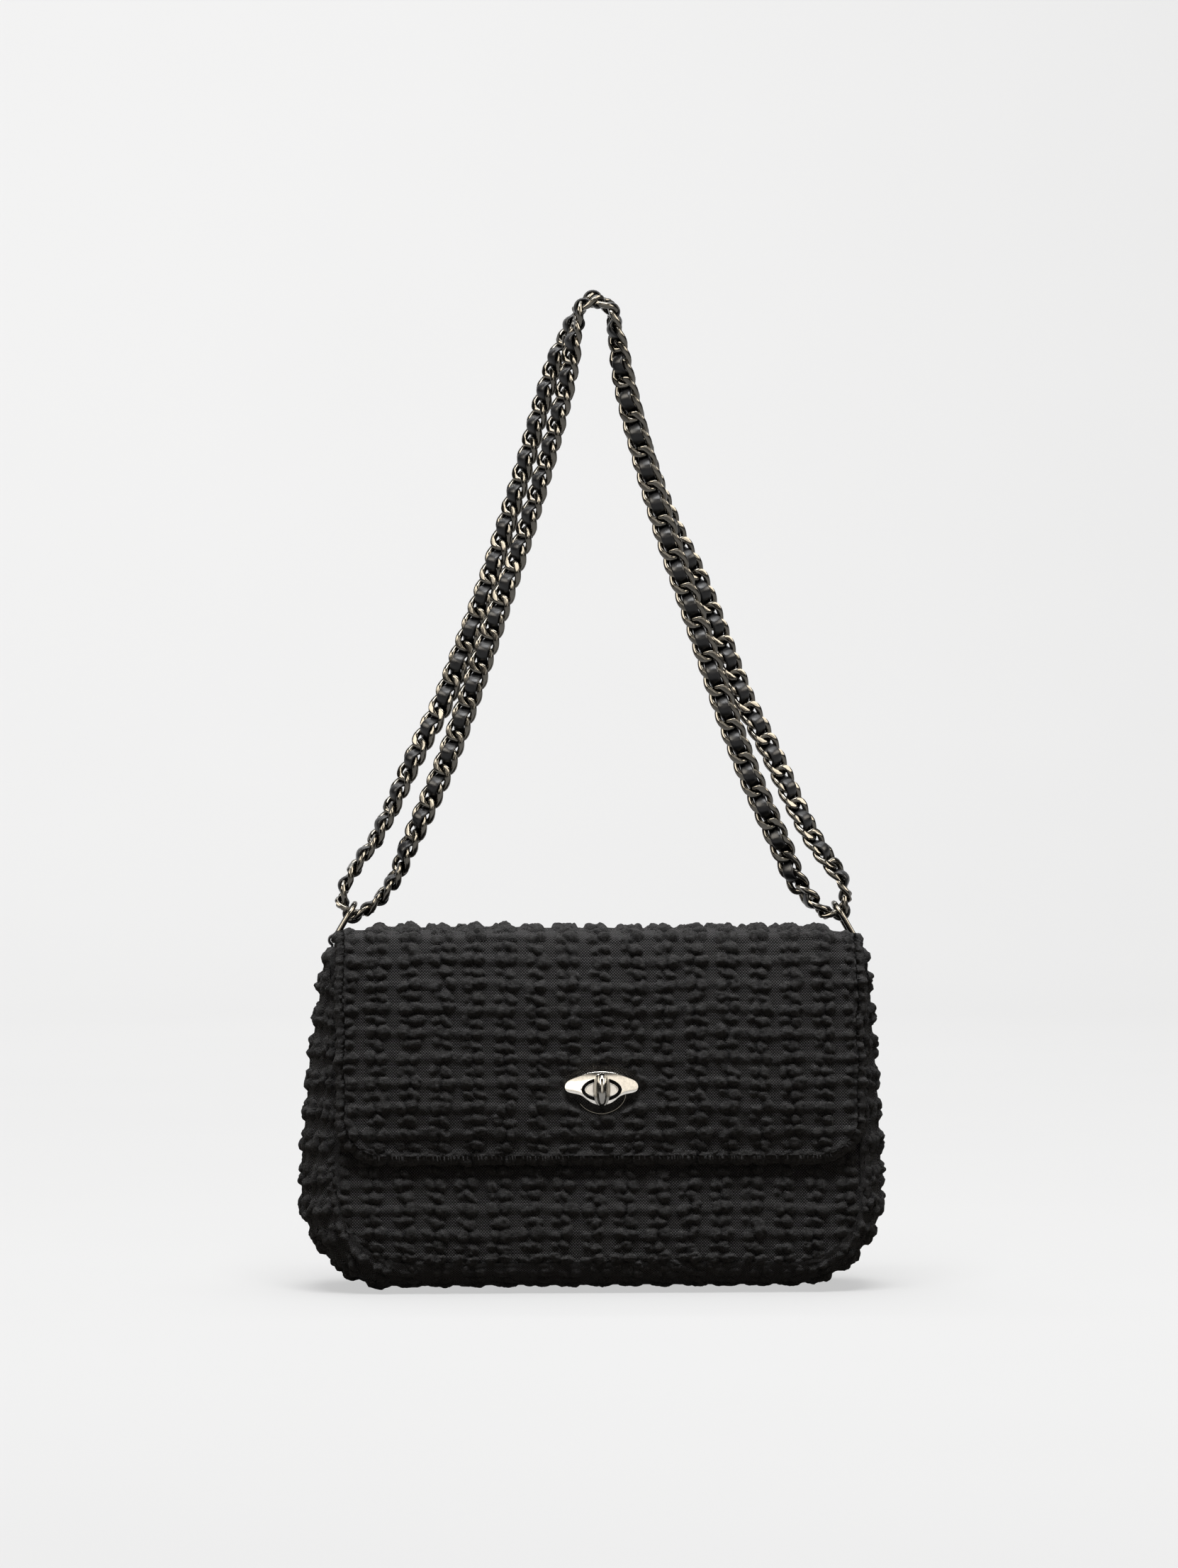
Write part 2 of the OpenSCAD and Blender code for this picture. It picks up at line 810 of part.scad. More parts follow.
module left_turn_links() { links(0, turn_links); }
module right_turn_links() { links(right_first, turn_links); }
module front_chain() { links(front_first, right_first - front_first); }
module rear_chain() { links(rear_first, link_count - rear_first); }

// The lace weaves through the links, in front at one joint and behind at the next
lace_flat = 1;
lace_lift_share = 0.83;
lace_reach = link_reach - link_wire / 2 + lace_lift_share * lace_t;

module lace(first, last) {
    half_w = lace_w / 2;
    function ring_at(i, shift) =
        let (
            before = link_axis(i - 1), after = link_axis(i),
            axis = unit(before + after),
            front = unit([0, 1, 0] - axis[1] * axis),
            side = cross(front, axis),
            along = shift < 0 ? before : after,
            swing = i % 2 == 0 ? -1 : 1,
            at = joint_at(i) + shift * along + swing * lace_reach * front
        )
        [
            at - half_w * side - lace_t / 2 * front, at + half_w * side - lace_t / 2 * front,
            at + half_w * side + lace_t / 2 * front, at - half_w * side + lace_t / 2 * front
        ];
    rings = [for (i = [first:last], shift = [-lace_flat, lace_flat]) ring_at(i, shift)];
    points = [for (ring = rings) each ring];
    end = len(rings) - 1;
    faces = concat(
        [
            for (i = [0:end - 1], k = [0:3], half = [0, 1])
                let (a = 4 * i + k, b = 4 * i + (k + 1) % 4, c = a + 4, d = b + 4)
                half == 0 ? [a, b, c] : [b, d, c]
        ],
        [[0, 3, 2, 1], [for (k = [0:3]) 4 * end + k]]
    );
    color("#17171a") polyhedron(points, faces);
}

module front_lace() { lace(front_first + 1, right_first - 1); }
module rear_lace() { lace(rear_first + 1, link_count - 1); }

front_panel();
back_panel();
top_band();
gusset();
front_board();
back_board();
gusset_padding();
front_lining();
back_lining();
gusset_lining();
top_band_lining();
lock_base();
lock_backing();
lock_spring();
left_tab();
right_tab();
flap_top_panel();
flap_top_board();
flap_top_lining();
flap_fold();
flap_fold_lining();
flap_front_panel();
flap_front_board();
flap_front_lining();
lock_plate();
lock_plate_frame();
turn_knob();
knob_spindle();
spindle_retainer();
left_ring();
right_ring();
front_chain();
rear_chain();
left_turn_links();
right_turn_links();
front_lace();
rear_lace();
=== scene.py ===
import json
import math

import bpy
import numpy as np
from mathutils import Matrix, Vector


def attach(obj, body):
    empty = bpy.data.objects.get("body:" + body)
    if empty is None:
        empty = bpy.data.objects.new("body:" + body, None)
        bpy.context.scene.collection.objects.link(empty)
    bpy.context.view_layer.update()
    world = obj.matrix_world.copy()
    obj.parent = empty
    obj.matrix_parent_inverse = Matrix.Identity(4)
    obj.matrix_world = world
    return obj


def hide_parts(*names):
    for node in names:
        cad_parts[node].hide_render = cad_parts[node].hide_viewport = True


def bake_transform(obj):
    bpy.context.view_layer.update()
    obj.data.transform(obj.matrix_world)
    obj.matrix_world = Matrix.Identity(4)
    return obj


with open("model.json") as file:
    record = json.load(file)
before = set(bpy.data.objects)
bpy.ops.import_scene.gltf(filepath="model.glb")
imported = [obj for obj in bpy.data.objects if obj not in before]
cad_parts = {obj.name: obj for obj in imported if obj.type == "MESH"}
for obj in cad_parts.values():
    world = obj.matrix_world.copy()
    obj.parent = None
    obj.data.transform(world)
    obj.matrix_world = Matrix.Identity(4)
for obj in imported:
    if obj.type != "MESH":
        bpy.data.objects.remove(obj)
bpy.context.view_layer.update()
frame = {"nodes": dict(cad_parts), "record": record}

# Sizes in millimetres, the same as the part's own source gives them
MM = 0.001
BAG_H = 153.0
BASE_HALF = 38.0
TOP_HALF = 22.0
LEAN = math.atan((BASE_HALF - TOP_HALF) / BAG_H)
LEAN_SIN, LEAN_COS, LEAN_TAN = math.sin(LEAN), math.cos(LEAN), math.tan(LEAN)
PANEL_HALF = 111.0
CORNER_R = 30.0
SEAM_Z = 11.5
SWELL = 14.0
TOP_SWELL = 6.0
FLAP_T = 5.4
FLAP_GAP = 0.4
FLAP_HALF = 108.0
FLAP_LOW = 55.0
FLAP_CORNER_R = 17.0
FOLD_R = 6.0
HINGE_Y = 6.0
FOLD_Z = BAG_H - FLAP_T - FOLD_R
FOLD_Y = -BASE_HALF + (FOLD_Z * LEAN_SIN + FOLD_R - FLAP_GAP) / LEAN_COS
RIM_Z = FOLD_Z + 0.5
GUSSET_TOP = RIM_Z - 2.5
SHOULDER_R = 8.0
SHOULDER_Z = BAG_H - SHOULDER_R
SHOULDER_Y = BASE_HALF - (SHOULDER_Z * LEAN_SIN + SHOULDER_R) / LEAN_COS
BAND_HALF = 92.0
LOCK_Z = 85.0
STRAP_Y = 16.0
RING_LEAN = math.radians(30)
RING_SIN, RING_COS = math.sin(RING_LEAN), math.cos(RING_LEAN)
RING_H = 18.0
RING_WIRE = 2.4
RING_HALF = 6.97
TAB_X = PANEL_HALF + 1
TAB_Z = GUSSET_TOP + 7.5
PEAK_Z = 421.0
REAR_RISE = 2.0

X_AXIS = np.array([1.0, 0.0, 0.0])
Y_AXIS = np.array([0.0, 1.0, 0.0])
Z_AXIS = np.array([0.0, 0.0, 1.0])


def unit(v):
    return v / np.linalg.norm(v, axis=-1, keepdims=True)


def smooth_step(low, high, value):
    way = np.clip((value - low) / (high - low), 0, 1)
    return way * way * (3 - 2 * way)


# Meshes


def mesh_piece(name, points, faces, material, uv=None, knot=None, sharp=None):
    """A mesh object from points in mm. uv and knot are given for each point."""
    mesh = bpy.data.meshes.new(name)
    mesh.from_pydata((np.asarray(points) * MM).tolist(), [], [list(f) for f in faces])
    mesh.polygons.foreach_set("use_smooth", [True] * len(mesh.polygons))
    if sharp:
        mesh.set_sharp_from_angle(angle=math.radians(sharp))
    if uv is not None:
        layer = mesh.uv_layers.new(name="Cloth")
        index = np.zeros(len(mesh.loops), np.int32)
        mesh.loops.foreach_get("vertex_index", index)
        layer.data.foreach_set("uv", np.asarray(uv)[index].ravel())
    if knot is not None:
        for k, layer_name in enumerate(("knot", "relief")):
            attribute = mesh.attributes.new(layer_name, "FLOAT", "POINT")
            attribute.data.foreach_set("value", np.ascontiguousarray(knot[:, k], np.float32))
    mesh.materials.append(material)
    piece = bpy.data.objects.new(name, mesh)
    bpy.context.scene.collection.objects.link(piece)
    return piece


def fit(piece, body, slot, *nodes):
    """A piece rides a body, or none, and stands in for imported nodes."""
    if body:
        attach(piece, body)
    if nodes:
        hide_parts(*nodes)
    return piece


def bend(piece, first, second, start, end):
    """Bakes the piece's placement into its mesh; the two bodies and the two places in the side view
    are not used, and the piece does not bend.
    """
    start, end = ((0, y * MM, z * MM) for y, z in (start, end))
    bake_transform(piece)
    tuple(start)
    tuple(end)


def grid_faces(rows, columns, closed_rows=False, closed_columns=False, flip=False):
    """Faces between rows of points, which may close into rings either way."""
    faces = []
    for i in range(rows if closed_rows else rows - 1):
        here, there = i * columns, (i + 1) % rows * columns
        for j in range(columns if closed_columns else columns - 1):
            k = (j + 1) % columns
            a, b, c, d = here + j, here + k, there + k, there + j
            faces.append((a, b, c, d) if flip else (a, d, c, b))
    return faces


def end_caps(rows, columns):
    """The two faces that close the ends of a tube."""
    return [tuple(range(columns)), tuple(range((rows - 1) * columns, rows * columns))[::-1]]


def sweep(centres, across, along, section, closed):
    """Points and faces of a closed section carried along a line of centres."""
    section = np.asarray(section)
    points = (
        centres[:, None, :]
        + section[None, :, :1] * across[:, None, :]
        + section[None, :, 1:2] * along[:, None, :]
    )
    rows, columns = len(centres), len(section)
    faces = grid_faces(rows, columns, closed_rows=closed, closed_columns=True)
    if not closed:
        faces += end_caps(rows, columns)
    return points.reshape(-1, 3), faces


def arc(start, end, count):
    """Cosines and sines along an arc."""
    return [(math.cos(a), math.sin(a)) for a in np.linspace(start, end, count)]


def rounded_section(width, thickness, power, count):
    """An oval. A power below 1 makes it squarer, and one above 1 points its ends."""
    angles = np.linspace(0, 2 * math.pi, count, endpoint=False)
    c, s = np.cos(angles), np.sin(angles)
    return np.stack(
        [
            width / 2 * np.sign(c) * np.abs(c) ** power,
            thickness / 2 * np.sign(s) * np.abs(s) ** power,
        ],
        axis=1,
    )


def join(parts):
    """One list of points and faces from several."""
    points, faces, start = [], [], 0
    for part_points, part_faces in parts:
        points.append(part_points)
        faces += [tuple(start + k for k in f) for f in part_faces]
        start += len(part_points)
    return np.vstack(points), faces


# Tweed: thick looped yarn in columns over a fine ground weave

COLUMN = 13.4
ROW = 10.3
CELLS = 64
# Each lobe of a knot: its place in the cell, its half sizes, its height and its tilt
LOBES = (
    (-2.4, 2.0, 2.9, 2.6, 2.5, 0.15),
    (2.1, 1.7, 3.0, 2.7, 2.8, -0.1),
    (1.3, 7.0, 3.1, 2.2, 2.5, 0.45),
    (-2.6, 6.7, 2.2, 1.9, 1.7, 0.0),
)
PLACE_JITTER = (0.75, 0.85)
TILT_JITTER = 0.45
SIZE_JITTER = 0.2
MERGE = 6
WARP = 1.0
WARP_SIZE = 24.0
CURL_WARP = 0.55
CURL_SIZE = 2.4
# Smaller lumps on the knots: size and height
LUMPS = ((1.9, 0.55), (1.1, 0.3))
RIB_AT = 1.8
RIB_HALF = 2.4
RIB_HEIGHT = 1.15
RIB_ROUND = 0.8
RIB_WANDER = 0.9
RIB_WANDER_SIZE = 9.0
RIB_UNEVEN = 0.35
RIB_UNEVEN_SIZE = 11.0
LOBE_ROUND = 0.6
STRIPE_HALF = 5.6
STRIPE_HEIGHT = 0.55
EDGE_ROLL = 1.9
EDGE_ROLL_RUN = 2.6
EDGE_ROLL_UNEVEN = 0.4
EDGE_ROLL_LUMP = 4.5
KNOT_FROM = 0.5
KNOT_FULL = 1.3
CLOTH_UV = 0.01
RELIEF_CELL = 0.6
RELIEF_BLUR = 2.0
RELIEF_EDGE = 10.0


def sample(table, i, j, share_i, share_j):
    """A table's values between four neighbours, going round its edges."""
    rows, columns = table.shape
    total = 0
    for di, wi in ((0, 1 - share_i), (1, share_i)):
        for dj, wj in ((0, 1 - share_j), (1, share_j)):
            total = total + wi * wj * table[(i + di) % rows, (j + dj) % columns]
    return total


def value_noise(u, v, size, seed):
    """Smooth noise between -1 and 1 whose lumps are about size across."""
    table = np.random.default_rng(seed).random((CELLS, CELLS))
    u, v = u / size, v / size
    i, j = np.floor(u).astype(int), np.floor(v).astype(int)
    fu, fv = u - i, v - j
    return sample(table, i, j, fu * fu * (3 - 2 * fu), fv * fv * (3 - 2 * fv)) * 2 - 1


def yarn_height(u, v, seed):
    """The yarn's height over the ground weave, in mm."""
    table = np.random.default_rng(seed).random((CELLS, CELLS, len(LOBES), 6)) * 2 - 1
    u, v = (
        u + WARP * value_noise(u, v, WARP_SIZE, seed + 5),
        v + WARP * value_noise(u, v, WARP_SIZE, seed + 6),
    )
    column = np.round(u / COLUMN).astype(int)
    row = np.floor(v / ROW).astype(int)
    across = u - column * COLUMN
    curl_u = CURL_WARP * value_noise(u, v, CURL_SIZE, seed + 7)
    curl_v = CURL_WARP * value_noise(u, v, CURL_SIZE, seed + 8)
    stripe = np.clip(1 - (np.abs(across) / STRIPE_HALF) ** 2, 0, 1)
    total = np.zeros_like(u)
    for step in (-1, 0, 1):
        for k, (at_u, at_v, half_u, half_v, top, tilt) in enumerate(LOBES):
            chance = table[column % CELLS, (row + step) % CELLS, k]
            du = across + curl_u - at_u - PLACE_JITTER[0] * chance[:, 0]
            dv = v + curl_v - (row + step) * ROW - at_v - PLACE_JITTER[1] * chance[:, 1]
            turn = tilt + TILT_JITTER * chance[:, 2]
            wide = half_u * (1 + SIZE_JITTER * chance[:, 3])
            tall = half_v * (1 + SIZE_JITTER * chance[:, 5])
            pu = (du * np.cos(turn) + dv * np.sin(turn)) / wide
            pv = (dv * np.cos(turn) - du * np.sin(turn)) / tall
            lobe = np.clip(1 - pu**2 - pv**2, 0, 1) ** LOBE_ROUND
            total += (top * (1 + SIZE_JITTER * chance[:, 4]) * lobe) ** MERGE
    height = np.maximum(total ** (1 / MERGE), STRIPE_HEIGHT * stripe)
    low = v - np.round((v - RIB_AT) / ROW) * ROW - RIB_AT
    low = low - RIB_WANDER * value_noise(u, v, RIB_WANDER_SIZE, seed + 1)
    strength = 1 - RIB_UNEVEN + RIB_UNEVEN * value_noise(u, v, RIB_UNEVEN_SIZE, seed + 9)
    rib = np.clip(1 - (low / RIB_HALF) ** 2, 0, 1) ** RIB_ROUND
    return np.maximum(height, RIB_HEIGHT * strength * rib)


def blurred(field, sigma):
    """A field smoothed both ways by a bell curve."""
    reach = int(3 * sigma)
    weights = np.exp(-0.5 * (np.arange(-reach, reach + 1) / sigma) ** 2)
    weights /= weights.sum()
    for axis in (0, 1):
        field = np.apply_along_axis(np.convolve, axis, field, weights, "same")
    return field


def tweed(u, v, seed, inward):
    """The yarn's height, with how much of the cloth is yarn and how far it stands out locally.

    inward is the way in from the nearest edge, where the yarn makes a lumpy roll."""
    height = yarn_height(u, v, seed)
    roll = EDGE_ROLL * np.exp(-((np.maximum(inward, 0) / EDGE_ROLL_RUN) ** 2))
    lumps = value_noise(u, v, EDGE_ROLL_LUMP, seed + 10)
    height = np.maximum(height, roll * (1 - EDGE_ROLL_UNEVEN / 2 + EDGE_ROLL_UNEVEN * lumps))
    low_u, low_v = u.min() - RELIEF_EDGE, v.min() - RELIEF_EDGE
    count_u = int((u.max() + RELIEF_EDGE - low_u) / RELIEF_CELL)
    count_v = int((v.max() + RELIEF_EDGE - low_v) / RELIEF_CELL)
    grid_u, grid_v = np.meshgrid(
        low_u + RELIEF_CELL * np.arange(count_u), low_v + RELIEF_CELL * np.arange(count_v)
    )
    field = yarn_height(grid_u.ravel(), grid_v.ravel(), seed).reshape(grid_u.shape)
    mean = blurred(field, RELIEF_BLUR / RELIEF_CELL)
    at_u, at_v = (u - low_u) / RELIEF_CELL, (v - low_v) / RELIEF_CELL
    i, j = at_v.astype(int), at_u.astype(int)
    around = sample(mean, i, j, at_v - i, at_u - j)
    knot = smooth_step(KNOT_FROM, KNOT_FULL, height)
    shown = height
    for k, (size, depth) in enumerate(LUMPS):
        shown = shown + knot * depth * value_noise(u + v, v - u, size, seed + 2 + k)
    return shown, np.stack([knot, height - around], axis=1)


# Paths in the side view


class SidePath:
    """A line in the side view made of straight stretches and bends, followed by its length."""

    STEP = 0.05

    def __init__(self, start, heading, stretches, side):
        self.side = side
        rows = [(0.0, *start, heading)]
        for length, turn in stretches:
            count = max(1, int(round(length / self.STEP)))
            step = length / count
            for _ in range(count):
                run, y, z, angle = rows[-1]
                middle = angle + turn / count / 2
                y, z = y + step * math.cos(middle), z + step * math.sin(middle)
                rows.append((run + step, y, z, angle + turn / count))
        self.lengths, self.ys, self.zs, self.angles = np.array(rows).T
        self.end = self.lengths[-1]

    def at(self, s):
        """The point, the way along and the way out at each length, with straight run-outs."""
        inside = np.clip(s, 0, self.end)
        angle = np.interp(inside, self.lengths, self.angles)
        beyond = s - inside
        y = np.interp(inside, self.lengths, self.ys) + beyond * np.cos(angle)
        z = np.interp(inside, self.lengths, self.zs) + beyond * np.sin(angle)
        zero = np.zeros_like(y)
        along = np.stack([zero, np.cos(angle), np.sin(angle)], axis=-1)
        out_angle = angle + self.side * math.pi / 2
        out = np.stack([zero, np.cos(out_angle), np.sin(out_angle)], axis=-1)
        return np.stack([zero, y, z], axis=-1), along, out


EDGE_STEPS = 6
# Between these shares of a half turn the yarn flattens under the edge, and shade is painted on the
# cloth that turns under it
YARN_FADE = (0.45, 0.8)
UNDER_FADE = (0.4, 0.7)
UNDER_FLAT = 0.9
UNDER_EDGE_PAINTED_SHADE = 1.4


def sheet_grid(rows, columns):
    """Places across and along a sheet, from its rows' lengths along and half widths."""
    across = rows[:, 1][:, None] * np.linspace(-1, 1, columns)
    return across.ravel(), np.repeat(rows[:, 0], columns)


def cover(path, rows, columns, edge_r, edge_angle, hem, height, offset, open_end=False):
    """A sheet laid on a path, with its sides and far end turned over a round edge.

    rows are (length along the path, half width, edge direction from the side towards the end).
    height gives the yarn's height and share from the sheet's own coordinates."""
    rows = np.asarray(rows, float)
    count = len(rows)
    u, s = sheet_grid(rows, columns)
    left = [i * columns for i in range(count)]
    right = [i * columns + columns - 1 for i in range(count)]
    bottom = [] if open_end else [(count - 1) * columns + j for j in range(1, columns - 1)]
    loop = left + bottom + right[::-1]
    angles = rows[:, 2]
    way_u = np.concatenate([-np.cos(angles), np.zeros(len(bottom)), np.cos(angles[::-1])])
    way_s = np.concatenate([np.sin(angles), np.ones(len(bottom)), np.sin(angles[::-1])])
    turns = [(edge_angle * (k + 1) / EDGE_STEPS, 0.0) for k in range(EDGE_STEPS)]
    if hem:
        turns += [(edge_angle, hem / 2), (edge_angle, hem)]
    # The flat part first, and then a ring of points for each turn round the edge
    flat, size = np.zeros_like(u), len(loop)
    turn, back = (np.append(flat, np.repeat(values, size)) for values in zip(*turns))
    way_u, way_s = (np.append(flat, np.tile(way, len(turns))) for way in (way_u, way_s))
    from_u, from_s = (np.append(place, np.tile(place[loop], len(turns))) for place in (u, s))
    out, run = edge_r * np.sin(turn) - back, edge_r * turn + back
    all_u, all_s = from_u + way_u * out, from_s + way_s * out
    cloth_u, cloth_s = from_u + way_u * run, from_s + way_s * run
    point, along, up = path.at(all_s)
    lift = edge_r * (np.cos(turn) - 1) + offset(all_u, all_s)
    point = point + all_u[:, None] * X_AXIS + lift[:, None] * up
    normal = (
        (way_u * np.sin(turn))[:, None] * X_AXIS
        + (way_s * np.sin(turn))[:, None] * along
        + np.cos(turn)[:, None] * up
    )
    bump, knot = height(cloth_u, cloth_s)
    # Painted shade on the turned-under cloth: its relief is lowered, which the tweed material
    # darkens
    knot[:, 1] -= UNDER_EDGE_PAINTED_SHADE * smooth_step(*UNDER_FADE, turn / math.pi)
    fade = 1 - UNDER_FLAT * smooth_step(*YARN_FADE, turn / math.pi)
    point = point + (bump * fade)[:, None] * normal
    flip = path.side > 0
    faces = grid_faces(count, columns, flip=flip)
    start = count * columns
    ring = loop
    for _ in turns:
        new = list(range(start, start + size))
        for k in range(size - 1):
            if open_end and k == count - 1:
                continue
            face = (ring[k], ring[k + 1], new[k + 1], new[k])
            faces.append(face[::-1] if flip else face)
        ring = new
        start += size
    uv = np.stack([cloth_u, cloth_s], axis=1) * CLOTH_UV
    return point, faces, uv, knot


def corner_rows(start, end, half, radius, step):
    """Rows down a sheet whose two far corners are round."""
    straight = end - radius
    count = max(2, int(round((straight - start) / step)))
    rows = [(start + (straight - start) * i / count, half, 0.0) for i in range(count)]
    turns = max(4, int(round(radius * math.pi / 2 / step)))
    for i in range(turns + 1):
        turn = math.pi / 2 * i / turns
        rows.append(
            (straight + radius * math.sin(turn), half - radius + radius * math.cos(turn), turn)
        )
    return rows


# Materials


class Nodes:
    """A short way to write a node tree."""

    def __init__(self, tree):
        self.tree = tree

    def new(self, kind):
        return self.tree.nodes.new("ShaderNode" + kind)

    def put(self, socket, value):
        if isinstance(value, bpy.types.NodeSocket):
            self.tree.links.new(value, socket)
        elif value is not None:
            socket.default_value = value

    def math(self, operation, a, b=None):
        node = self.new("Math")
        node.operation = operation
        self.put(node.inputs[0], a)
        self.put(node.inputs[1], b)
        return node.outputs[0]

    def noise(self, scale, detail, rough=0.6, vector=None):
        node = self.new("TexNoise")
        self.put(node.inputs["Scale"], scale)
        self.put(node.inputs["Detail"], detail)
        self.put(node.inputs["Roughness"], rough)
        self.put(node.inputs["Vector"], vector or self.place())
        return node.outputs["Fac"]

    def place(self):
        node = self.new("TexCoord")
        return node.outputs["Object"]

    def spread(self, value, low, high, to_low=0.0, to_high=1.0):
        node = self.new("MapRange")
        for key, number in zip(
            ("Value", "From Min", "From Max", "To Min", "To Max"),
            (value, low, high, to_low, to_high),
        ):
            self.put(node.inputs[key], number)
        return node.outputs["Result"]

    def blend(self, share, first, second):
        node = self.new("Mix")
        node.data_type = "RGBA"
        self.put(node.inputs[0], share)
        # The colours of a mix node are its seventh and eighth inputs
        self.put(node.inputs[6], first)
        self.put(node.inputs[7], second)
        return node.outputs[2]

    def bump(self, height, distance, strength, normal=None):
        node = self.new("Bump")
        self.put(node.inputs["Height"], height)
        node.inputs["Distance"].default_value = distance
        node.inputs["Strength"].default_value = strength
        self.put(node.inputs["Normal"], normal)
        return node.outputs[0]


class Material(Nodes):
    """A node material with one principled shader."""

    def __init__(self, name):
        self.material = bpy.data.materials.new(name)
        self.material.use_nodes = True
        super().__init__(self.material.node_tree)
        self.tree.nodes.clear()
        output = self.new("OutputMaterial")
        self.shader = self.new("BsdfPrincipled")
        self.tree.links.new(self.shader.outputs[0], output.inputs["Surface"])

    def set(self, **values):
        for key, value in values.items():
            self.put(self.shader.inputs[key.replace("_", " ")], value)


def colour(red, green, blue):
    return (red, green, blue, 1.0)


WARP_WAVES = 520.0
WEFT_WAVES = 500.0


def tweed_material():
    m = Material("tweed")

    def attribute(name):
        node = m.new("Attribute")
        node.attribute_name = name
        return node.outputs["Fac"]

    knot = attribute("knot")
    relief = attribute("relief")
    cloth = m.new("TexCoord").outputs["UV"]
    split = m.new("SeparateXYZ")
    m.put(split.inputs[0], cloth)
    # Threads of the ground weave, about 0.6 mm apart both ways
    warp = m.math("SINE", m.math("MULTIPLY", split.outputs[0], WARP_WAVES))
    weft = m.math("SINE", m.math("MULTIPLY", split.outputs[1], WEFT_WAVES))
    over = m.math("MULTIPLY", warp, weft)
    thread = m.math("POWER", m.math("ABSOLUTE", over), 0.6)
    stretch = m.new("Mapping")
    stretch.inputs["Scale"].default_value = (0.4, 1.0, 1.0)
    m.put(stretch.inputs["Vector"], cloth)
    streak = m.noise(260.0, 3.0, 0.75, stretch.outputs[0])
    fibre = m.noise(1600.0, 3.0, 0.7)
    cloud = m.noise(60.0, 2.0, 0.5)
    lump = m.noise(520.0, 3.0, 0.65)
    # Painted shade darkens the creases between the knots, where the yarn stands lower than around
    # it; the ground lies low between the knots without getting this shade
    rise = m.math("ADD", relief, m.math("SUBTRACT", 1.0, knot))
    outside_crease_shade = m.spread(rise, -0.6, 0.6)
    dot = m.spread(over, -0.15, 0.7)
    ground = m.blend(dot, colour(0.007, 0.007, 0.0075), colour(0.118, 0.115, 0.118))
    tuft = m.math("MULTIPLY", m.spread(fibre, 0.3, 0.75), 0.45)
    tuft = m.math("ADD", tuft, m.math("MULTIPLY", m.spread(streak, 0.35, 0.7), 0.55))
    yarn = m.blend(tuft, colour(0.014, 0.014, 0.015), colour(0.12, 0.117, 0.119))
    yarn = m.blend(m.spread(lump, 0.35, 0.62, 0.65, 0.0), yarn, colour(0.012, 0.0115, 0.011))
    base = m.blend(knot, ground, yarn)
    base = m.blend(m.spread(cloud, 0.3, 0.8, 0.0, 0.2), base, colour(0.045, 0.043, 0.038))
    # Painted shade in the creases, and under the turned edges where cover() lowers the relief
    base = m.blend(outside_crease_shade, colour(0.004, 0.004, 0.0045), base)
    m.set(Base_Color=base, Roughness=0.95)
    m.shader.inputs["Specular IOR Level"].default_value = 0.05
    m.shader.inputs["Sheen Weight"].default_value = 0.05
    m.shader.inputs["Sheen Roughness"].default_value = 0.6
    fluff = m.math("ADD", tuft, m.math("MULTIPLY", lump, 1.5))
    soft = m.bump(m.math("MULTIPLY", fluff, knot), 0.0008, 1.0)
    weave = m.math("MULTIPLY", thread, m.math("SUBTRACT", 1.0, knot))
    m.set(Normal=m.bump(weave, 0.0005, 1.0, soft))
    return m.material


def fibre_material(name, scale, detail, dark, pale, rough, depth, strength):
    """A dull material whose fine grain shows in its tone and as slight relief."""
    m = Material(name)
    grain = m.noise(scale, detail)
    m.set(
        Base_Color=m.blend(grain, dark, pale),
        Roughness=rough,
        Normal=m.bump(grain, depth, strength),
    )
    return m.material


def leather_material():
    m = Material("leather")
    grain = m.new("TexVoronoi")
    grain.inputs["Scale"].default_value = 1500.0
    m.put(grain.inputs["Vector"], m.place())
    cloud = m.noise(240.0, 2.0)
    m.set(
        Base_Color=m.blend(cloud, colour(0.004, 0.004, 0.0045), colour(0.009, 0.009, 0.01)),
        Roughness=m.spread(cloud, 0.3, 0.7, 0.27, 0.38),
        Normal=m.bump(grain.outputs["Distance"], 0.00004, 0.3),
    )
    m.shader.inputs["Specular IOR Level"].default_value = 0.3
    return m.material


def metal_material(name, tone, rough, scratch):
    m = Material(name)
    wear = m.noise(700.0, 3.0)
    worn = colour(*(0.8 * share for share in tone[:3]))
    m.set(
        Base_Color=m.blend(m.spread(wear, 0.35, 0.75), tone, worn),
        Roughness=m.spread(wear, 0.3, 0.7, rough, rough + 0.08),
        Normal=m.bump(wear, 0.00002, scratch),
    )
    m.shader.inputs["Metallic"].default_value = 1.0
    return m.material


TWEED = tweed_material()
LINING = fibre_material(
    "lining", 900.0, 3.0, colour(0.02, 0.02, 0.022), colour(0.05, 0.05, 0.053), 0.75, 0.0002, 0.5
)
LEATHER = leather_material()
GUNMETAL = metal_material("gunmetal", colour(0.118, 0.11, 0.096), 0.11, 0.1)
NICKEL = metal_material("nickel", colour(0.78, 0.75, 0.7), 0.09, 0.08)
# A darker copy of the nickel for the knob, with the dark reflection its fin shows painted into its
# tone
NICKEL_PAINTED_DARK = metal_material("nickel_painted_dark_reflection", colour(0.26, 0.25, 0.23), 0.09, 0.08)
SATIN_NICKEL = metal_material("satin_nickel", colour(0.6, 0.58, 0.55), 0.3, 0.4)
STEEL = metal_material("plated_steel", colour(0.5, 0.48, 0.45), 0.25, 0.2)
# Near-black finish for the band under the lock's dome, painted shade for the gap there
PAINTED_GAP_SHADE = metal_material("painted_gap_shade", colour(0.012, 0.012, 0.012), 0.45, 0.3)
BOARD = fibre_material(
    "board", 500.0, 4.0, colour(0.4, 0.38, 0.34), colour(0.62, 0.6, 0.56), 0.9, 0.0001, 0.4
)


# Camera

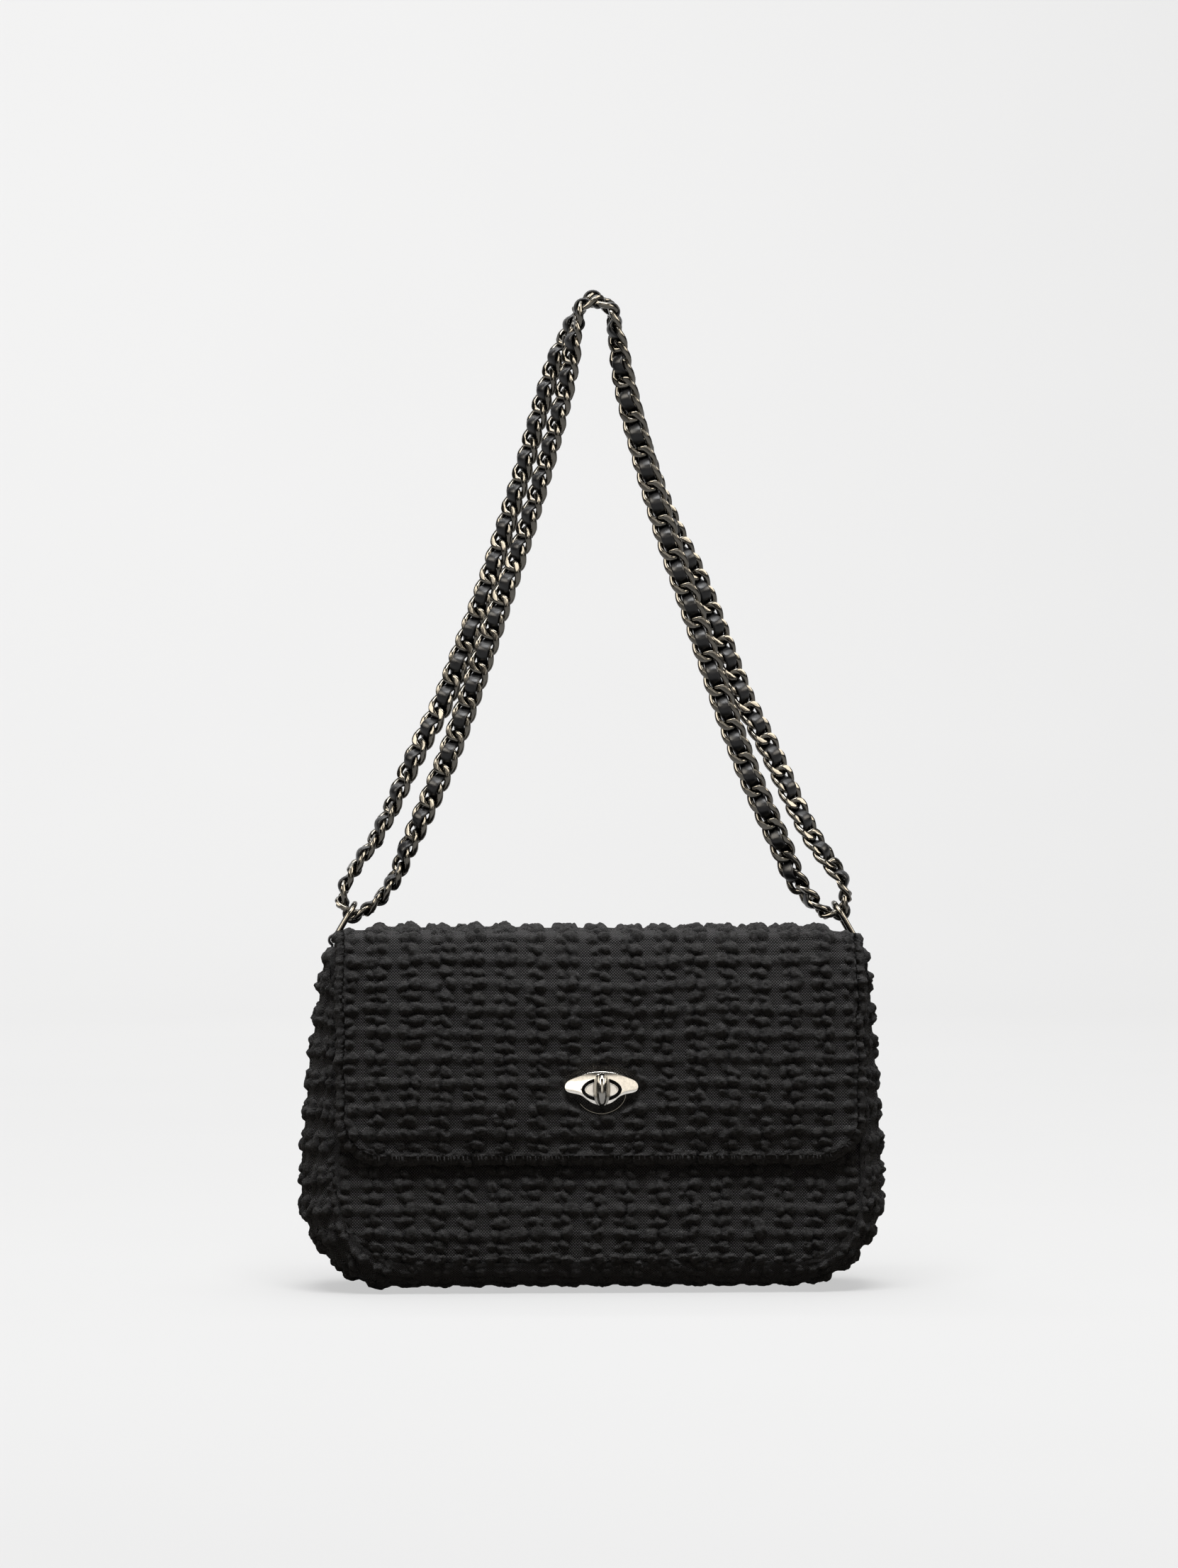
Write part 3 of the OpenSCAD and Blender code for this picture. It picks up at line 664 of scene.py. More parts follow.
CAMERA_FAR = 2.2
CAMERA_Z = 0.2139
CAMERA_TURN = math.radians(3.0)
AIM_X = -0.0034
PIXELS_PER_MM = 3.31
PICTURE_H = 2212
camera_data = bpy.data.cameras.new("camera")
camera_data.sensor_fit = "AUTO"
camera_data.sensor_width = 36
camera_data.lens = PIXELS_PER_MM * CAMERA_FAR / MM * camera_data.sensor_width / PICTURE_H
camera_data.clip_end = 50
camera = bpy.data.objects.new("camera", camera_data)
camera.location = (
    AIM_X - CAMERA_FAR * math.sin(CAMERA_TURN), -CAMERA_FAR * math.cos(CAMERA_TURN), CAMERA_Z
)
camera.rotation_euler = (math.pi / 2, 0, -CAMERA_TURN)
bpy.context.scene.collection.objects.link(camera)
bpy.context.scene.camera = camera


# Body covers

FACE_INSET = 1.6
FLAP_FACE_DROP = 1.3
EDGE_R = 1.6
SEAM_DIP = 2.4
SEAM_RUN = 7.0
TOP_OVERLAP = 6.0
PUFF = 1.5
PUFF_START = 4.0
PUFF_RUN = 30.0
PHASE = 1.5
EDGE_WANDER = 0.8
# The flap's cloth runs on into the back's, so these two share one seed
FLAP_SEED = 10
FRONT_SEED = 11
GUSSET_SEED = 13
WANDER_SEED = 33
WANDER_SIZE = 9.0
CUT_PHASE = (3.0, 2.0)
FRONT_COLUMNS = 300
FRONT_STEP = 0.75
BACK_COLUMNS = 240
BACK_STEP = 0.9
BACK_PUFF_FROM = 40.0
BAND_ROWS = 25
EAR_ROWS = 16
NO_EDGE = 30.0
STEP_OUT_ROWS = 4
STEP_OUT_RUN = 0.25
FLAP_PRESS = 0.25
FLAP_PRESS_RUN = 10.0
PANEL_WAVE = 0.4
PANEL_WAVE_SIZE = 34.0
PANEL_WAVE_SEED = 32


def step_out(rows, start_half, end_half, at):
    """Rows that step outwards to a wider half width."""
    for i in range(STEP_OUT_ROWS):
        share = (i + 1) / STEP_OUT_ROWS
        half = start_half + (end_half - start_half) * share
        rows.append((at + STEP_OUT_RUN * share, half, -math.pi / 2))


def way_in(u, s, half, end, radius):
    """How far a place on a sheet is from its sides and its far end with round corners."""
    du = np.abs(u) - (half - radius)
    ds = s - (end - radius)
    corner = np.hypot(np.maximum(du, 0), np.maximum(ds, 0))
    return radius - np.where((du > 0) & (ds > 0), corner, np.maximum(du, ds))


def panel_offset(half, end, radius, puff_low):
    """The cloth swells low down on a panel and dips into the seam round its edge."""

    def offset(u, s):
        inward = way_in(u, s, half, end, radius)
        near = np.clip(1 - inward / SEAM_RUN, 0, 1)
        inside = smooth_step(0, PUFF_RUN, inward)
        inside = inside * smooth_step(PUFF_START, PUFF_RUN, s - puff_low)
        wave = PANEL_WAVE * value_noise(u, s, PANEL_WAVE_SIZE, PANEL_WAVE_SEED)
        return PUFF * inside + wave - SEAM_DIP * near**2

    return offset


def wander(rows):
    """The sheet's sides wander a little, as hand-turned cloth does."""
    rows = np.array(rows, float)
    rows[:, 1] += EDGE_WANDER * value_noise(rows[:, 0], 0 * rows[:, 0], WANDER_SIZE, WANDER_SEED)
    return rows


def front_cover():
    inner_run = 10.0
    rim_r = 2.6
    front_run = (RIM_Z - SEAM_Z) / LEAN_COS - rim_r
    across = 2 * rim_r / LEAN_COS
    rim_y = -BASE_HALF + (RIM_Z - rim_r) * LEAN_TAN + FACE_INSET / LEAN_COS
    start = (
        rim_y + across - inner_run * LEAN_SIN,
        RIM_Z - rim_r - inner_run * LEAN_COS,
    )
    path = SidePath(
        start, math.pi / 2 - LEAN, [(inner_run, 0), (math.pi * rim_r, math.pi), (front_run, 0)], -1
    )
    rows = corner_rows(0.0, path.end, PANEL_HALF, CORNER_R, FRONT_STEP)
    flap_end = path.end - (FLAP_LOW - SEAM_Z)

    def height(u, v):
        inward = way_in(u, v, PANEL_HALF, path.end, CORNER_R)
        bump, knot = tweed(u + CUT_PHASE[0], v + CUT_PHASE[1], FRONT_SEED, inward)
        # The yarn is pressed flatter under the flap
        pressed = 1 - smooth_step(0, FLAP_PRESS_RUN, v - flap_end)
        return bump * (1 - FLAP_PRESS * pressed), knot

    offset = panel_offset(PANEL_HALF, path.end, CORNER_R, flap_end)
    return cover(path, rows, FRONT_COLUMNS, EDGE_R, math.pi / 2, 0, height, offset)


def back_cover():
    shoulder = (SHOULDER_R - FLAP_FACE_DROP) * (math.pi / 2 - LEAN)
    flat = SHOULDER_Y - HINGE_Y - TOP_OVERLAP
    down = (SHOULDER_Z - SEAM_Z) / LEAN_COS + SHOULDER_R * LEAN_TAN
    path = SidePath(
        (HINGE_Y + TOP_OVERLAP, BAG_H - FLAP_FACE_DROP),
        0.0,
        [(flat, 0), (shoulder, LEAN - math.pi / 2), (down, 0)],
        1,
    )
    ear_r = 12.0
    ear = flat + shoulder + SHOULDER_Z - RIM_Z
    rows = [(s, BAND_HALF, 0.0) for s in np.linspace(0, ear, BAND_ROWS)]
    step_out(rows, BAND_HALF, PANEL_HALF - ear_r, ear)
    for turn in np.linspace(0, math.pi / 2, EAR_ROWS)[1:-1]:
        rows.append(
            (
                ear + STEP_OUT_RUN + ear_r * (1 - math.cos(turn)),
                PANEL_HALF - ear_r + ear_r * math.sin(turn),
                turn - math.pi / 2,
            )
        )
    rows += corner_rows(ear + STEP_OUT_RUN + ear_r, path.end, PANEL_HALF, CORNER_R, BACK_STEP)
    offset = panel_offset(PANEL_HALF, path.end, CORNER_R, BACK_PUFF_FROM)

    def height(u, v):
        inward = np.where(v > ear + ear_r, way_in(u, v, PANEL_HALF, path.end, CORNER_R), NO_EDGE)
        return tweed(u, PHASE - TOP_OVERLAP - v, FLAP_SEED, inward)

    return cover(path, rows, BACK_COLUMNS, EDGE_R, math.pi / 2, 0, height, offset)


RIM_ROLL_R = 3.2
RIM_ROLL_STEPS = 7
RIM_TURN_IN = 5.0
GUSSET_INSET = 2.2
GUSSET_ROWS = 560
GUSSET_COLUMNS = 100
CORNER_SLACK = 1.25
ACROSS_SLACK = 1.12
BASE_CLEAR = 0.15
BASE_PRESS = 0.6
PRESSED_FROM = 0.7
SWELL_TAPER = 1.6
# The side on the left of the photo bulges more than the other
SIDE_BULGE = 2.2
BULGE_TAPER = 0.5
# The band is round across at the sides and flatter under the base
SIDE_POWER = 2
BASE_POWER = 6
BAND_ROUND = 0.75
EDGE_CALM = 0.96


def gusset_rows(count, inset):
    """Rows of a band down one side, under the base and up the other side.

    Each row gives its run, its side, the angle it faces, the seam's place and its swell."""
    low_z = SEAM_Z + CORNER_R
    corner_x = PANEL_HALF - CORNER_R
    side = GUSSET_TOP - low_z
    corner = CORNER_R * math.pi / 2 * CORNER_SLACK
    total = 2 * (side + corner + corner_x)
    run = np.linspace(0, total, count)
    mirror = np.where(run > total / 2, 1.0, -1.0)
    way = np.where(run > total / 2, total - run, run)
    angle = np.clip((way - side) / corner, 0, 1) * math.pi / 2
    seam_x = np.where(way < side + corner, corner_x + CORNER_R * np.cos(angle), total / 2 - way)
    seam_z = np.where(way < side, GUSSET_TOP - way, low_z - CORNER_R * np.sin(angle))
    rise = np.clip((seam_z - low_z) / side, 0, 1)
    swell = np.where(
        way < side,
        SWELL - (SWELL - TOP_SWELL) * rise**SWELL_TAPER,
        SWELL + (SEAM_Z - SWELL) * angle / (math.pi / 2),
    )
    swell = swell - SIDE_BULGE * mirror * np.cos(angle) * (1 - rise) ** BULGE_TAPER
    return run, mirror, angle, seam_x, seam_z, swell - inset


def gusset_band(count, columns, inset, depth_inset):
    """The band's points, its cloth coordinates, the way across and how flat it is pressed."""
    run, mirror, angle, seam_x, seam_z, swell = gusset_rows(count, inset)
    # The band flattens over the last part of the corner's turn
    pressed = smooth_step(PRESSED_FROM, 1.0, angle / (math.pi / 2))
    across = np.sin(np.linspace(-math.pi / 2, math.pi / 2, columns))
    power = SIDE_POWER + (BASE_POWER - SIDE_POWER) * np.sin(angle)
    shape = (1 - np.abs(across[None, :]) ** power[:, None]) ** BAND_ROUND
    reach = swell[:, None] * shape - EDGE_R * (1 - shape)
    x = mirror[:, None] * (seam_x[:, None] + reach * np.cos(angle)[:, None])
    z = seam_z[:, None] - reach * np.sin(angle)[:, None]
    half = BASE_HALF - seam_z * LEAN_TAN - depth_inset
    y = half[:, None] * across[None, :]
    points = np.stack([x, y, z], axis=-1)
    u = (np.arcsin(across)[None, :] / math.pi * 2) * (half[:, None] * ACROSS_SLACK)
    v = np.broadcast_to(run[:, None], u.shape)
    return points, u, v, across, pressed


def rim_roll(row, side):
    """Rows that carry the band's end round over its rim and down inside it."""
    rows = []
    for k in range(1, RIM_ROLL_STEPS + 1):
        turn = math.pi * k / RIM_ROLL_STEPS
        new = row.copy()
        new[:, 0] -= side * RIM_ROLL_R * (1 - math.cos(turn))
        new[:, 2] += RIM_ROLL_R * math.sin(turn)
        rows.append(new)
    last = rows[-1].copy()
    last[:, 2] -= RIM_TURN_IN
    rows.append(last)
    return np.stack(rows)


RING_DIP = 3.6
RING_DIP_Y = STRAP_Y + 5.0
RING_DIP_RUN = 5.0
RING_DIP_LOW = 9
RING_DIP_HIGH = 1


def gusset_cover():
    points, u, v, across, pressed = gusset_band(
        GUSSET_ROWS, GUSSET_COLUMNS, GUSSET_INSET, FACE_INSET
    )
    first, last = rim_roll(points[0], -1), rim_roll(points[-1], 1)
    points = np.concatenate([first[::-1], points, last])
    extra = math.pi * RIM_ROLL_R * np.arange(1, RIM_ROLL_STEPS + 2) / RIM_ROLL_STEPS
    v = np.concatenate([v[:1] - extra[::-1, None], v, v[-1:] + extra[:, None]])
    u = np.concatenate([np.repeat(u[:1], len(extra), 0), u, np.repeat(u[-1:], len(extra), 0)])
    along, over = np.gradient(points, axis=0), np.gradient(points, axis=1)
    normal = unit(np.cross(over, along))
    # The cloth is turned here, so its columns cross the band
    inward = (u.max(axis=1, keepdims=True) - np.abs(u)).ravel()
    bump, knot = tweed(
        v.ravel() + CUT_PHASE[0], u.ravel() + CUT_PHASE[1], GUSSET_SEED, inward
    )
    # The base is pressed flat by the bag's weight
    pressed = np.pad(pressed, len(extra), "edge")[:, None]
    edge = 1 - smooth_step(EDGE_CALM, 1.0, np.abs(across))[None, :]
    edge = edge * (1 - BASE_PRESS * pressed)
    points = points + (bump.reshape(u.shape) * edge)[..., None] * normal
    points[..., 2] = np.maximum(points[..., 2], BASE_CLEAR)
    # The rim dips where each ring comes down when the strap falls back
    near = np.exp(-(((points[..., 1] - RING_DIP_Y) / RING_DIP_RUN) ** 2))
    low, high = GUSSET_TOP - RING_DIP_LOW, GUSSET_TOP + RING_DIP_HIGH
    points[..., 2] -= RING_DIP * near * smooth_step(low, high, points[..., 2])
    faces = grid_faces(len(points), len(across), flip=True)
    uv = np.stack([v.ravel(), u.ravel()], axis=1) * CLOTH_UV
    return points.reshape(-1, 3), faces, uv, knot


FLAP_PAD = 3.2
PAD_SIDE_RUN = 34.0
PAD_TOP_RUN = (-8.0, 22.0)
PAD_END_RUN = 24.0
LOCK_DIP = 3.2
LOCK_DIP_RUN = 25.0
LOCK_DIP_WIDE = 1.3
PLATE_SINK = 1.2
PLATE_W = 31.0
PLATE_H = 18.2
PLATE_LOW = 1.0
PLATE_PRESS = 1.22
HINGE_CALM = 0.75
HINGE_CALM_RUN = 3.0
PUCKER = 0.9
PUCKER_UP = 24.0
PUCKER_HALF = 24.0
PUCKER_RUN = 9.0
CURL_RUN = 13.0
CURL = 1.8
CURL_MOST = 1.3
LEFT_DROOP = 2.2
RIGHT_DROOP = 4.2
DROOP_SIDE_RUN = (-15.0, 1.0)
DROOP_RUN = 14.0
DROOP_LOW_RUN = 22.0
FLAP_WAVE = 0.6
FLAP_WAVE_SIZE = 38.0
FLAP_WAVE_SEED = 31
FLAP_WAVE_RUN = 30.0
FLAP_COLUMNS = 320
FLAP_STEP = 0.68
OVERLAP_ROWS = 9
TOP_ROWS = 18
TOP_HEM = 5
FRONT_HEM = 7
FLAP_BEND_R = FOLD_R + FLAP_T - FLAP_FACE_DROP
FLAP_BEND = FLAP_BEND_R * (math.pi / 2 - LEAN)
FLAP_TOP_RUN = HINGE_Y - FOLD_Y
FLAP_SPLIT = FLAP_TOP_RUN / 2
FLAP_EDGE_R = (FLAP_T - FLAP_FACE_DROP) / 2


def flap_path():
    """The flap's outer face, from a little behind the hinge line down to its lower edge."""
    front_run = (FOLD_Z - FLAP_LOW) / LEAN_COS - FLAP_EDGE_R
    return SidePath(
        (HINGE_Y + TOP_OVERLAP, BAG_H - FLAP_FACE_DROP),
        math.pi,
        [(TOP_OVERLAP + FLAP_TOP_RUN, 0), (FLAP_BEND, math.pi / 2 - LEAN), (front_run, 0)],
        -1,
    )


def flap_cover(part):
    path = flap_path()
    fold_end = TOP_OVERLAP + FLAP_TOP_RUN + FLAP_BEND
    lock_s = fold_end + (FOLD_Z - LOCK_Z) / LEAN_COS
    half = FLAP_HALF

    def offset(u, s):
        far = np.hypot(u / LOCK_DIP_WIDE, s - lock_s)
        window = smooth_step(0, PAD_SIDE_RUN, half - np.abs(u))
        window = window * smooth_step(*PAD_TOP_RUN, s - fold_end)
        window = window * smooth_step(0, PAD_END_RUN, path.end - s)
        dip = LOCK_DIP * np.exp(-((far / LOCK_DIP_RUN) ** 2))
        above = (s - lock_s + PUCKER_UP) / PUCKER_RUN
        pucker = PUCKER * np.exp(-(above**2) - (u / PUCKER_HALF) ** 2)
        curl = CURL * np.clip((s - path.end + CURL_RUN) / CURL_RUN, 0, CURL_MOST) ** 2
        wave = FLAP_WAVE * value_noise(u, s, FLAP_WAVE_SIZE, FLAP_WAVE_SEED)
        wave = wave * smooth_step(0, FLAP_WAVE_RUN, s)
        droop = np.where(u > 0, RIGHT_DROOP, LEFT_DROOP)
        droop = droop * smooth_step(*DROOP_SIDE_RUN, np.abs(u) - half)
        droop = droop * smooth_step(0, DROOP_RUN, s)
        droop = droop * smooth_step(-DROOP_RUN, DROOP_LOW_RUN - DROOP_RUN, fold_end - s)
        puff = FLAP_PAD * window + wave
        return puff - dip - pucker - curl - droop - PLATE_SINK * under_plate(u, s)

    def under_plate(u, s):
        """1 where the lock's plate presses the cloth flat."""
        reach = np.hypot(u / (PLATE_W / 2), (s - lock_s - PLATE_LOW) / (PLATE_H / 2))
        return 1 - smooth_step(1.0, PLATE_PRESS, reach)

    def height(u, v):
        inward = way_in(u, v, half, path.end, FLAP_CORNER_R)
        bump, knot = tweed(u, v + PHASE - TOP_OVERLAP, FLAP_SEED, inward)
        # The yarn lies flatter over the hinge line
        calm = 1 - HINGE_CALM * np.exp(-(((v - TOP_OVERLAP) / HINGE_CALM_RUN) ** 2))
        return bump * calm * (1 - under_plate(u, v)), knot

    if part == "top":
        rows = [(s, BAND_HALF, 0.0) for s in np.linspace(0, TOP_OVERLAP, OVERLAP_ROWS)]
        step_out(rows, BAND_HALF, half, TOP_OVERLAP)
        begin, end = TOP_OVERLAP + STEP_OUT_RUN, TOP_OVERLAP + FLAP_SPLIT
        rows += [(s, half, 0.0) for s in np.linspace(begin, end, TOP_ROWS)[1:]]
        hem, open_end = TOP_HEM, True
    else:
        rows = corner_rows(TOP_OVERLAP + FLAP_SPLIT, path.end, half, FLAP_CORNER_R, FLAP_STEP)
        hem, open_end = FRONT_HEM, False
    rows = wander(rows)
    return cover(path, rows, FLAP_COLUMNS, FLAP_EDGE_R, math.pi, hem, height, offset, open_end)


def cloth_piece(name, parts, body, *nodes):
    points, faces, uv, knot = parts
    piece = mesh_piece(name, points, faces, TWEED, uv, knot)
    return fit(piece, body, "tweed", *nodes)


for name, parts, nodes in (
    ("front_cover", front_cover(), ("front_panel", "front_board")),
    ("back_cover", back_cover(), ("back_panel", "top_band", "back_board")),
    ("gusset_cover", gusset_cover(), ("gusset", "gusset_padding")),
):
    cloth_piece(name, parts, "bag_body", *nodes)

for part, first, second, start, end, nodes in (
    (
        "top",
        "bag_body",
        "flap_top",
        (HINGE_Y + 4, BAG_H),
        (HINGE_Y - 4, BAG_H),
        ("flap_top_panel", "flap_top_board"),
    ),
    (
        "front",
        "flap_top",
        "flap_front",
        (FOLD_Y - 1, BAG_H),
        (FOLD_Y - 9, FOLD_Z - 4),
        ("flap_fold", "flap_front_panel", "flap_front_board"),
    ),
):
    flap = cloth_piece("flap_%s_cover" % part, flap_cover(part), None, *nodes)
    bend(flap, first, second, start, end)


# Linings

LINING_T = 1.0
LINING_SHEET_T = 0.6
INNER_INSET = 4.8
INNER_DEPTH = 5.4
RIPPLE = 0.25
RIPPLE_SIZE = 17.0
RIPPLE_SEED = 41
LINING_COLUMNS = 70
BAND_LINING_COLUMNS = 60
LINING_RIM_GAP = 5.0
HINGE_GAP = 0.5
BAND_LINING_DROP = 9.0
FLAP_LINING_INSET = 4
FLAP_LINING_END = 3.0
FOLD_SLACK = 1.08
PANEL_LINING_STEP = 3.0
BAND_LINING_STEP = 1.5
FLAP_LINING_STEP = 2.0
FOLD_LINING_STEP = 0.8
# Rows, columns, and how far inside the seam and the panels
GUSSET_LINING = (150, 30, 5.4, 5.6)


def sheet_on_path(path, rows, columns, name, body, nodes):
    """A thin lining sheet with slight ripples, given real thickness."""
    u, s = sheet_grid(np.asarray(rows, float), columns)
    point, _, out = path.at(s)
    ripple = RIPPLE * value_noise(u, s, RIPPLE_SIZE, RIPPLE_SEED)
    point = point + u[:, None] * X_AXIS + ripple[:, None] * out
    faces = grid_faces(len(rows), columns, flip=path.side > 0)
    return lining_piece(name, point, faces, np.stack([u, s], axis=1), body, nodes)


def lining_piece(name, point, faces, uv, body, nodes):
    piece = mesh_piece(name, point, faces, LINING, uv * CLOTH_UV)
    thick = piece.modifiers.new("thickness", "SOLIDIFY")
    thick.thickness = LINING_SHEET_T * MM
    thick.offset = -1
    return fit(piece, body, "lining", *nodes)


def even(start, end, step):
    """Evenly spaced places, about a step apart."""
    return np.linspace(start, end, max(2, int(round(abs(end - start) / step)) + 1))


def panel_rows(start, end, half, radius, step):
    return [(a, b) for a, b, _ in corner_rows(start, end, half, radius, step)]


def body_linings():
    out = INNER_DEPTH - LINING_T
    low = SEAM_Z + INNER_INSET
    top = RIM_Z - LINING_RIM_GAP
    for name, side in (("front_lining", -1), ("back_lining", 1)):
        start = side * (BASE_HALF - top * LEAN_TAN - out / LEAN_COS)
        path = SidePath(
            (start, top),
            -math.pi / 2 + side * LEAN,
            [((top - low) / LEAN_COS, 0)],
            -side,
        )
        half, radius = PANEL_HALF - INNER_INSET, CORNER_R - INNER_INSET
        rows = panel_rows(0, path.end, half, radius, PANEL_LINING_STEP)
        sheet_on_path(path, rows, LINING_COLUMNS, name + "_sheet", "bag_body", (name,))
    points, u, v, across, _ = gusset_band(*GUSSET_LINING)
    # The lining stops two rows short of the rim at each end
    points, u, v = points[2:-2], u[2:-2], v[2:-2]
    faces = grid_faces(len(points), len(across), flip=True)
    uv = np.stack([u.ravel(), v.ravel()], axis=1)
    lining_piece(
        "gusset_lining_sheet", points.reshape(-1, 3), faces, uv, "bag_body", ("gusset_lining",)
    )
    inner_r = SHOULDER_R - FLAP_T + LINING_T
    path = SidePath(
        (HINGE_Y + HINGE_GAP, BAG_H - FLAP_T + LINING_T),
        0.0,
        [
            (SHOULDER_Y - HINGE_Y - HINGE_GAP, 0),
            (inner_r * (math.pi / 2 - LEAN), LEAN - math.pi / 2),
            (BAND_LINING_DROP, 0),
        ],
        -1,
    )
    rows = [(s, BAND_HALF) for s in even(0, path.end, BAND_LINING_STEP)]
    sheet_on_path(
        path, rows, BAND_LINING_COLUMNS, "top_band_lining_sheet", "bag_body", ("top_band_lining",)
    )


def flap_linings():
    bottom = BAG_H - FLAP_T
    top_run = HINGE_Y - HINGE_GAP - FOLD_Y
    fold = FOLD_R * (math.pi / 2 - LEAN)
    down = (FOLD_Z - FLAP_LOW) / LEAN_COS - FLAP_LINING_END
    half = FLAP_HALF - FLAP_LINING_INSET
    path = SidePath(
        (HINGE_Y - HINGE_GAP, bottom + HINGE_GAP),
        math.pi,
        [(top_run, 0), (fold * FOLD_SLACK, math.pi / 2 - LEAN), (down, 0)],
        1,
    )
    flat_end = top_run - 1.0
    rows = [(s, half) for s in even(0, flat_end, FLAP_LINING_STEP)]
    sheet_on_path(
        path, rows, LINING_COLUMNS, "flap_top_lining_sheet", "flap_top", ("flap_top_lining",)
    )
    rows = [(s, half) for s in even(flat_end, top_run + fold + 2, FOLD_LINING_STEP)]
    rows += panel_rows(top_run + fold + 3, path.end, half, FLAP_CORNER_R - 3, FLAP_LINING_STEP)
    piece = sheet_on_path(
        path,
        rows,
        LINING_COLUMNS,
        "flap_front_lining_sheet",
        None,
        ("flap_fold_lining", "flap_front_lining"),
    )
    bend(piece, "flap_top", "flap_front", (FOLD_Y - 1, bottom), (FOLD_Y - 6, FOLD_Z - 4))


body_linings()
flap_linings()


# Chain

LINK_PITCH = 7.65
LINK_WIRE = 2.7
LINK_A = 5.3
LINK_B = 4.05
LINK_TWIST = 1.32
FACET = 1.95
LACE_W = 5.2
LACE_T = 1.5
LACE_CLEAR = 0.1
LACE_STEPS = 12
LACE_LOOK = 0.4
LACE_WAVE = 0.8
LACE_ROUND = 0.75
TURN_CENTRE_LIFT = 1.2
CAD_TURN_R = 9.18
TURN_R = 6.4
PEAK_R = 7.6
RUN_SIDE = 4.57

# Places on each run from a ring's bow up to the peak, as shares: how far out, how far up, and
# how far to the front or rear
FRONT_SHARES = (
    (0.92, 0.047, 0.2), (0.857, 0.1, 0.5), (0.774, 0.164, 0.8), (0.685, 0.238, 1),
    (0.596, 0.325, 1), (0.508, 0.42, 1), (0.425, 0.51, 1), (0.342, 0.596, 1), (0.265, 0.685, 1),
    (0.187, 0.785, 1), (0.13, 0.867, 1), (0.106, 0.92, 1),
)
REAR_LOW = (
    (0.949, 0.029, 0.1), (0.871, 0.074, 0.35), (0.798, 0.132, 0.7), (0.725, 0.202, 1),
    (0.66, 0.26, 1), (0.591, 0.316, 1), (0.525, 0.388, 1), (0.449, 0.475, 1),
)
REAR_LEFT = (
    (0.385, 0.558, 1), (0.327, 0.64, 1), (0.267, 0.725, 1), (0.21, 0.814, 1), (0.148, 0.9, 1),
    (0.1, 0.945, 1),
)
REAR_RIGHT = (
    (0.388, 0.539, 1), (0.315, 0.6, 1), (0.251, 0.663, 1), (0.196, 0.73, 1), (0.151, 0.8, 1),
    (0.114, 0.872, 1), (0.093, 0.92, 1),
)
TURN_ANGLES = range(0, 181, 30)
PEAK_ANGLES = range(-72, 73, 24)
# Twist in degrees against height, for each run: 90 where the chain bends round a ring or over
# its peak, with its broad side square to the bend
EDGE_ON = ((0, 90),)
FRONT_LEFT_TWIST = (
    (160, 93), (174, 107), (192, 135), (210, 150), (229, 155), (265, 160), (284, 155),
    (302, 142), (320, 130), (339, 126), (400, 125), (412, 108), (419, 90),
)
FRONT_RIGHT_TWIST = (
    (160, 78), (168, 55), (180, 28), (195, 12), (240, 6), (340, 8), (366, 14), (384, 30),
    (403, 50), (412, 64), (419, 90),
)
REAR_RIGHT_TWIST = (
    (160, 82), (165, 75), (180, 48), (200, 35), (229, 24), (300, 18), (366, 22), (384, 35),
    (403, 52), (414, 68), (421, 90),
)
REAR_LEFT_TWIST = (
    (160, 90), (174, 85), (192, 72), (210, 58), (229, 45), (247, 30), (265, 20), (284, 22),
    (302, 34), (339, 50), (400, 55), (415, 75), (421, 90),
)

BOW_X = TAB_X - RING_H * RING_SIN
BOW_Z = TAB_Z + RING_H * RING_COS
TURN_X = BOW_X - TURN_CENTRE_LIFT * RING_SIN
TURN_Z = BOW_Z + TURN_CENTRE_LIFT * RING_COS
FOOT_X = CAD_TURN_R * RING_COS
FOOT_Z = CAD_TURN_R * RING_SIN


def chain_route():
    """Points of the strap's closed middle line, with the twist of the chain at each.

    The twist is 0 where the chain's broad side faces the front."""

    def turn(angle, side):
        angle = RING_LEAN + math.radians(angle)
        return (
            side * (TURN_X - TURN_R * math.cos(angle)),
            STRAP_Y,
            TURN_Z - TURN_R * math.sin(angle),
        )

    def leg(share, side, way):
        """A place on the front run, way -1, or the rear run, way 1."""
        foot_x, foot_z = TURN_X + way * FOOT_X, TURN_Z + way * FOOT_Z
        top = PEAK_Z + (REAR_RISE if way > 0 else 0)
        return (
            side * share[0] * foot_x,
            STRAP_Y + way * share[2] * RUN_SIDE,
            foot_z + share[1] * (top - foot_z),
        )

    def peak(angle, top, side):
        angle = math.radians(angle)
        return (
            PEAK_R * math.sin(angle),
            STRAP_Y + side * RUN_SIDE,
            top - PEAK_R * (1 - math.cos(angle)),
        )

    runs = (
        ([turn(a, -1) for a in TURN_ANGLES[::-1]], EDGE_ON),
        ([leg(q, -1, -1) for q in FRONT_SHARES], FRONT_LEFT_TWIST),
        ([peak(a, PEAK_Z, -1) for a in PEAK_ANGLES], EDGE_ON),
        ([leg(q, 1, -1) for q in FRONT_SHARES[::-1]], FRONT_RIGHT_TWIST),
        ([turn(a, 1) for a in TURN_ANGLES], EDGE_ON),
        ([leg(q, 1, 1) for q in REAR_LOW + REAR_RIGHT], REAR_RIGHT_TWIST),
        ([peak(a, PEAK_Z + REAR_RISE, 1) for a in PEAK_ANGLES[::-1]], EDGE_ON),
        ([leg(q, -1, 1) for q in (REAR_LOW + REAR_LEFT)[::-1]], REAR_LEFT_TWIST),
    )
    points = np.array([p for run, _ in runs for p in run], float)
    turns = [np.interp(p[2], *zip(*twist)) for run, twist in runs for p in run]
    return points, np.array(turns), [len(run) for run, _ in runs]


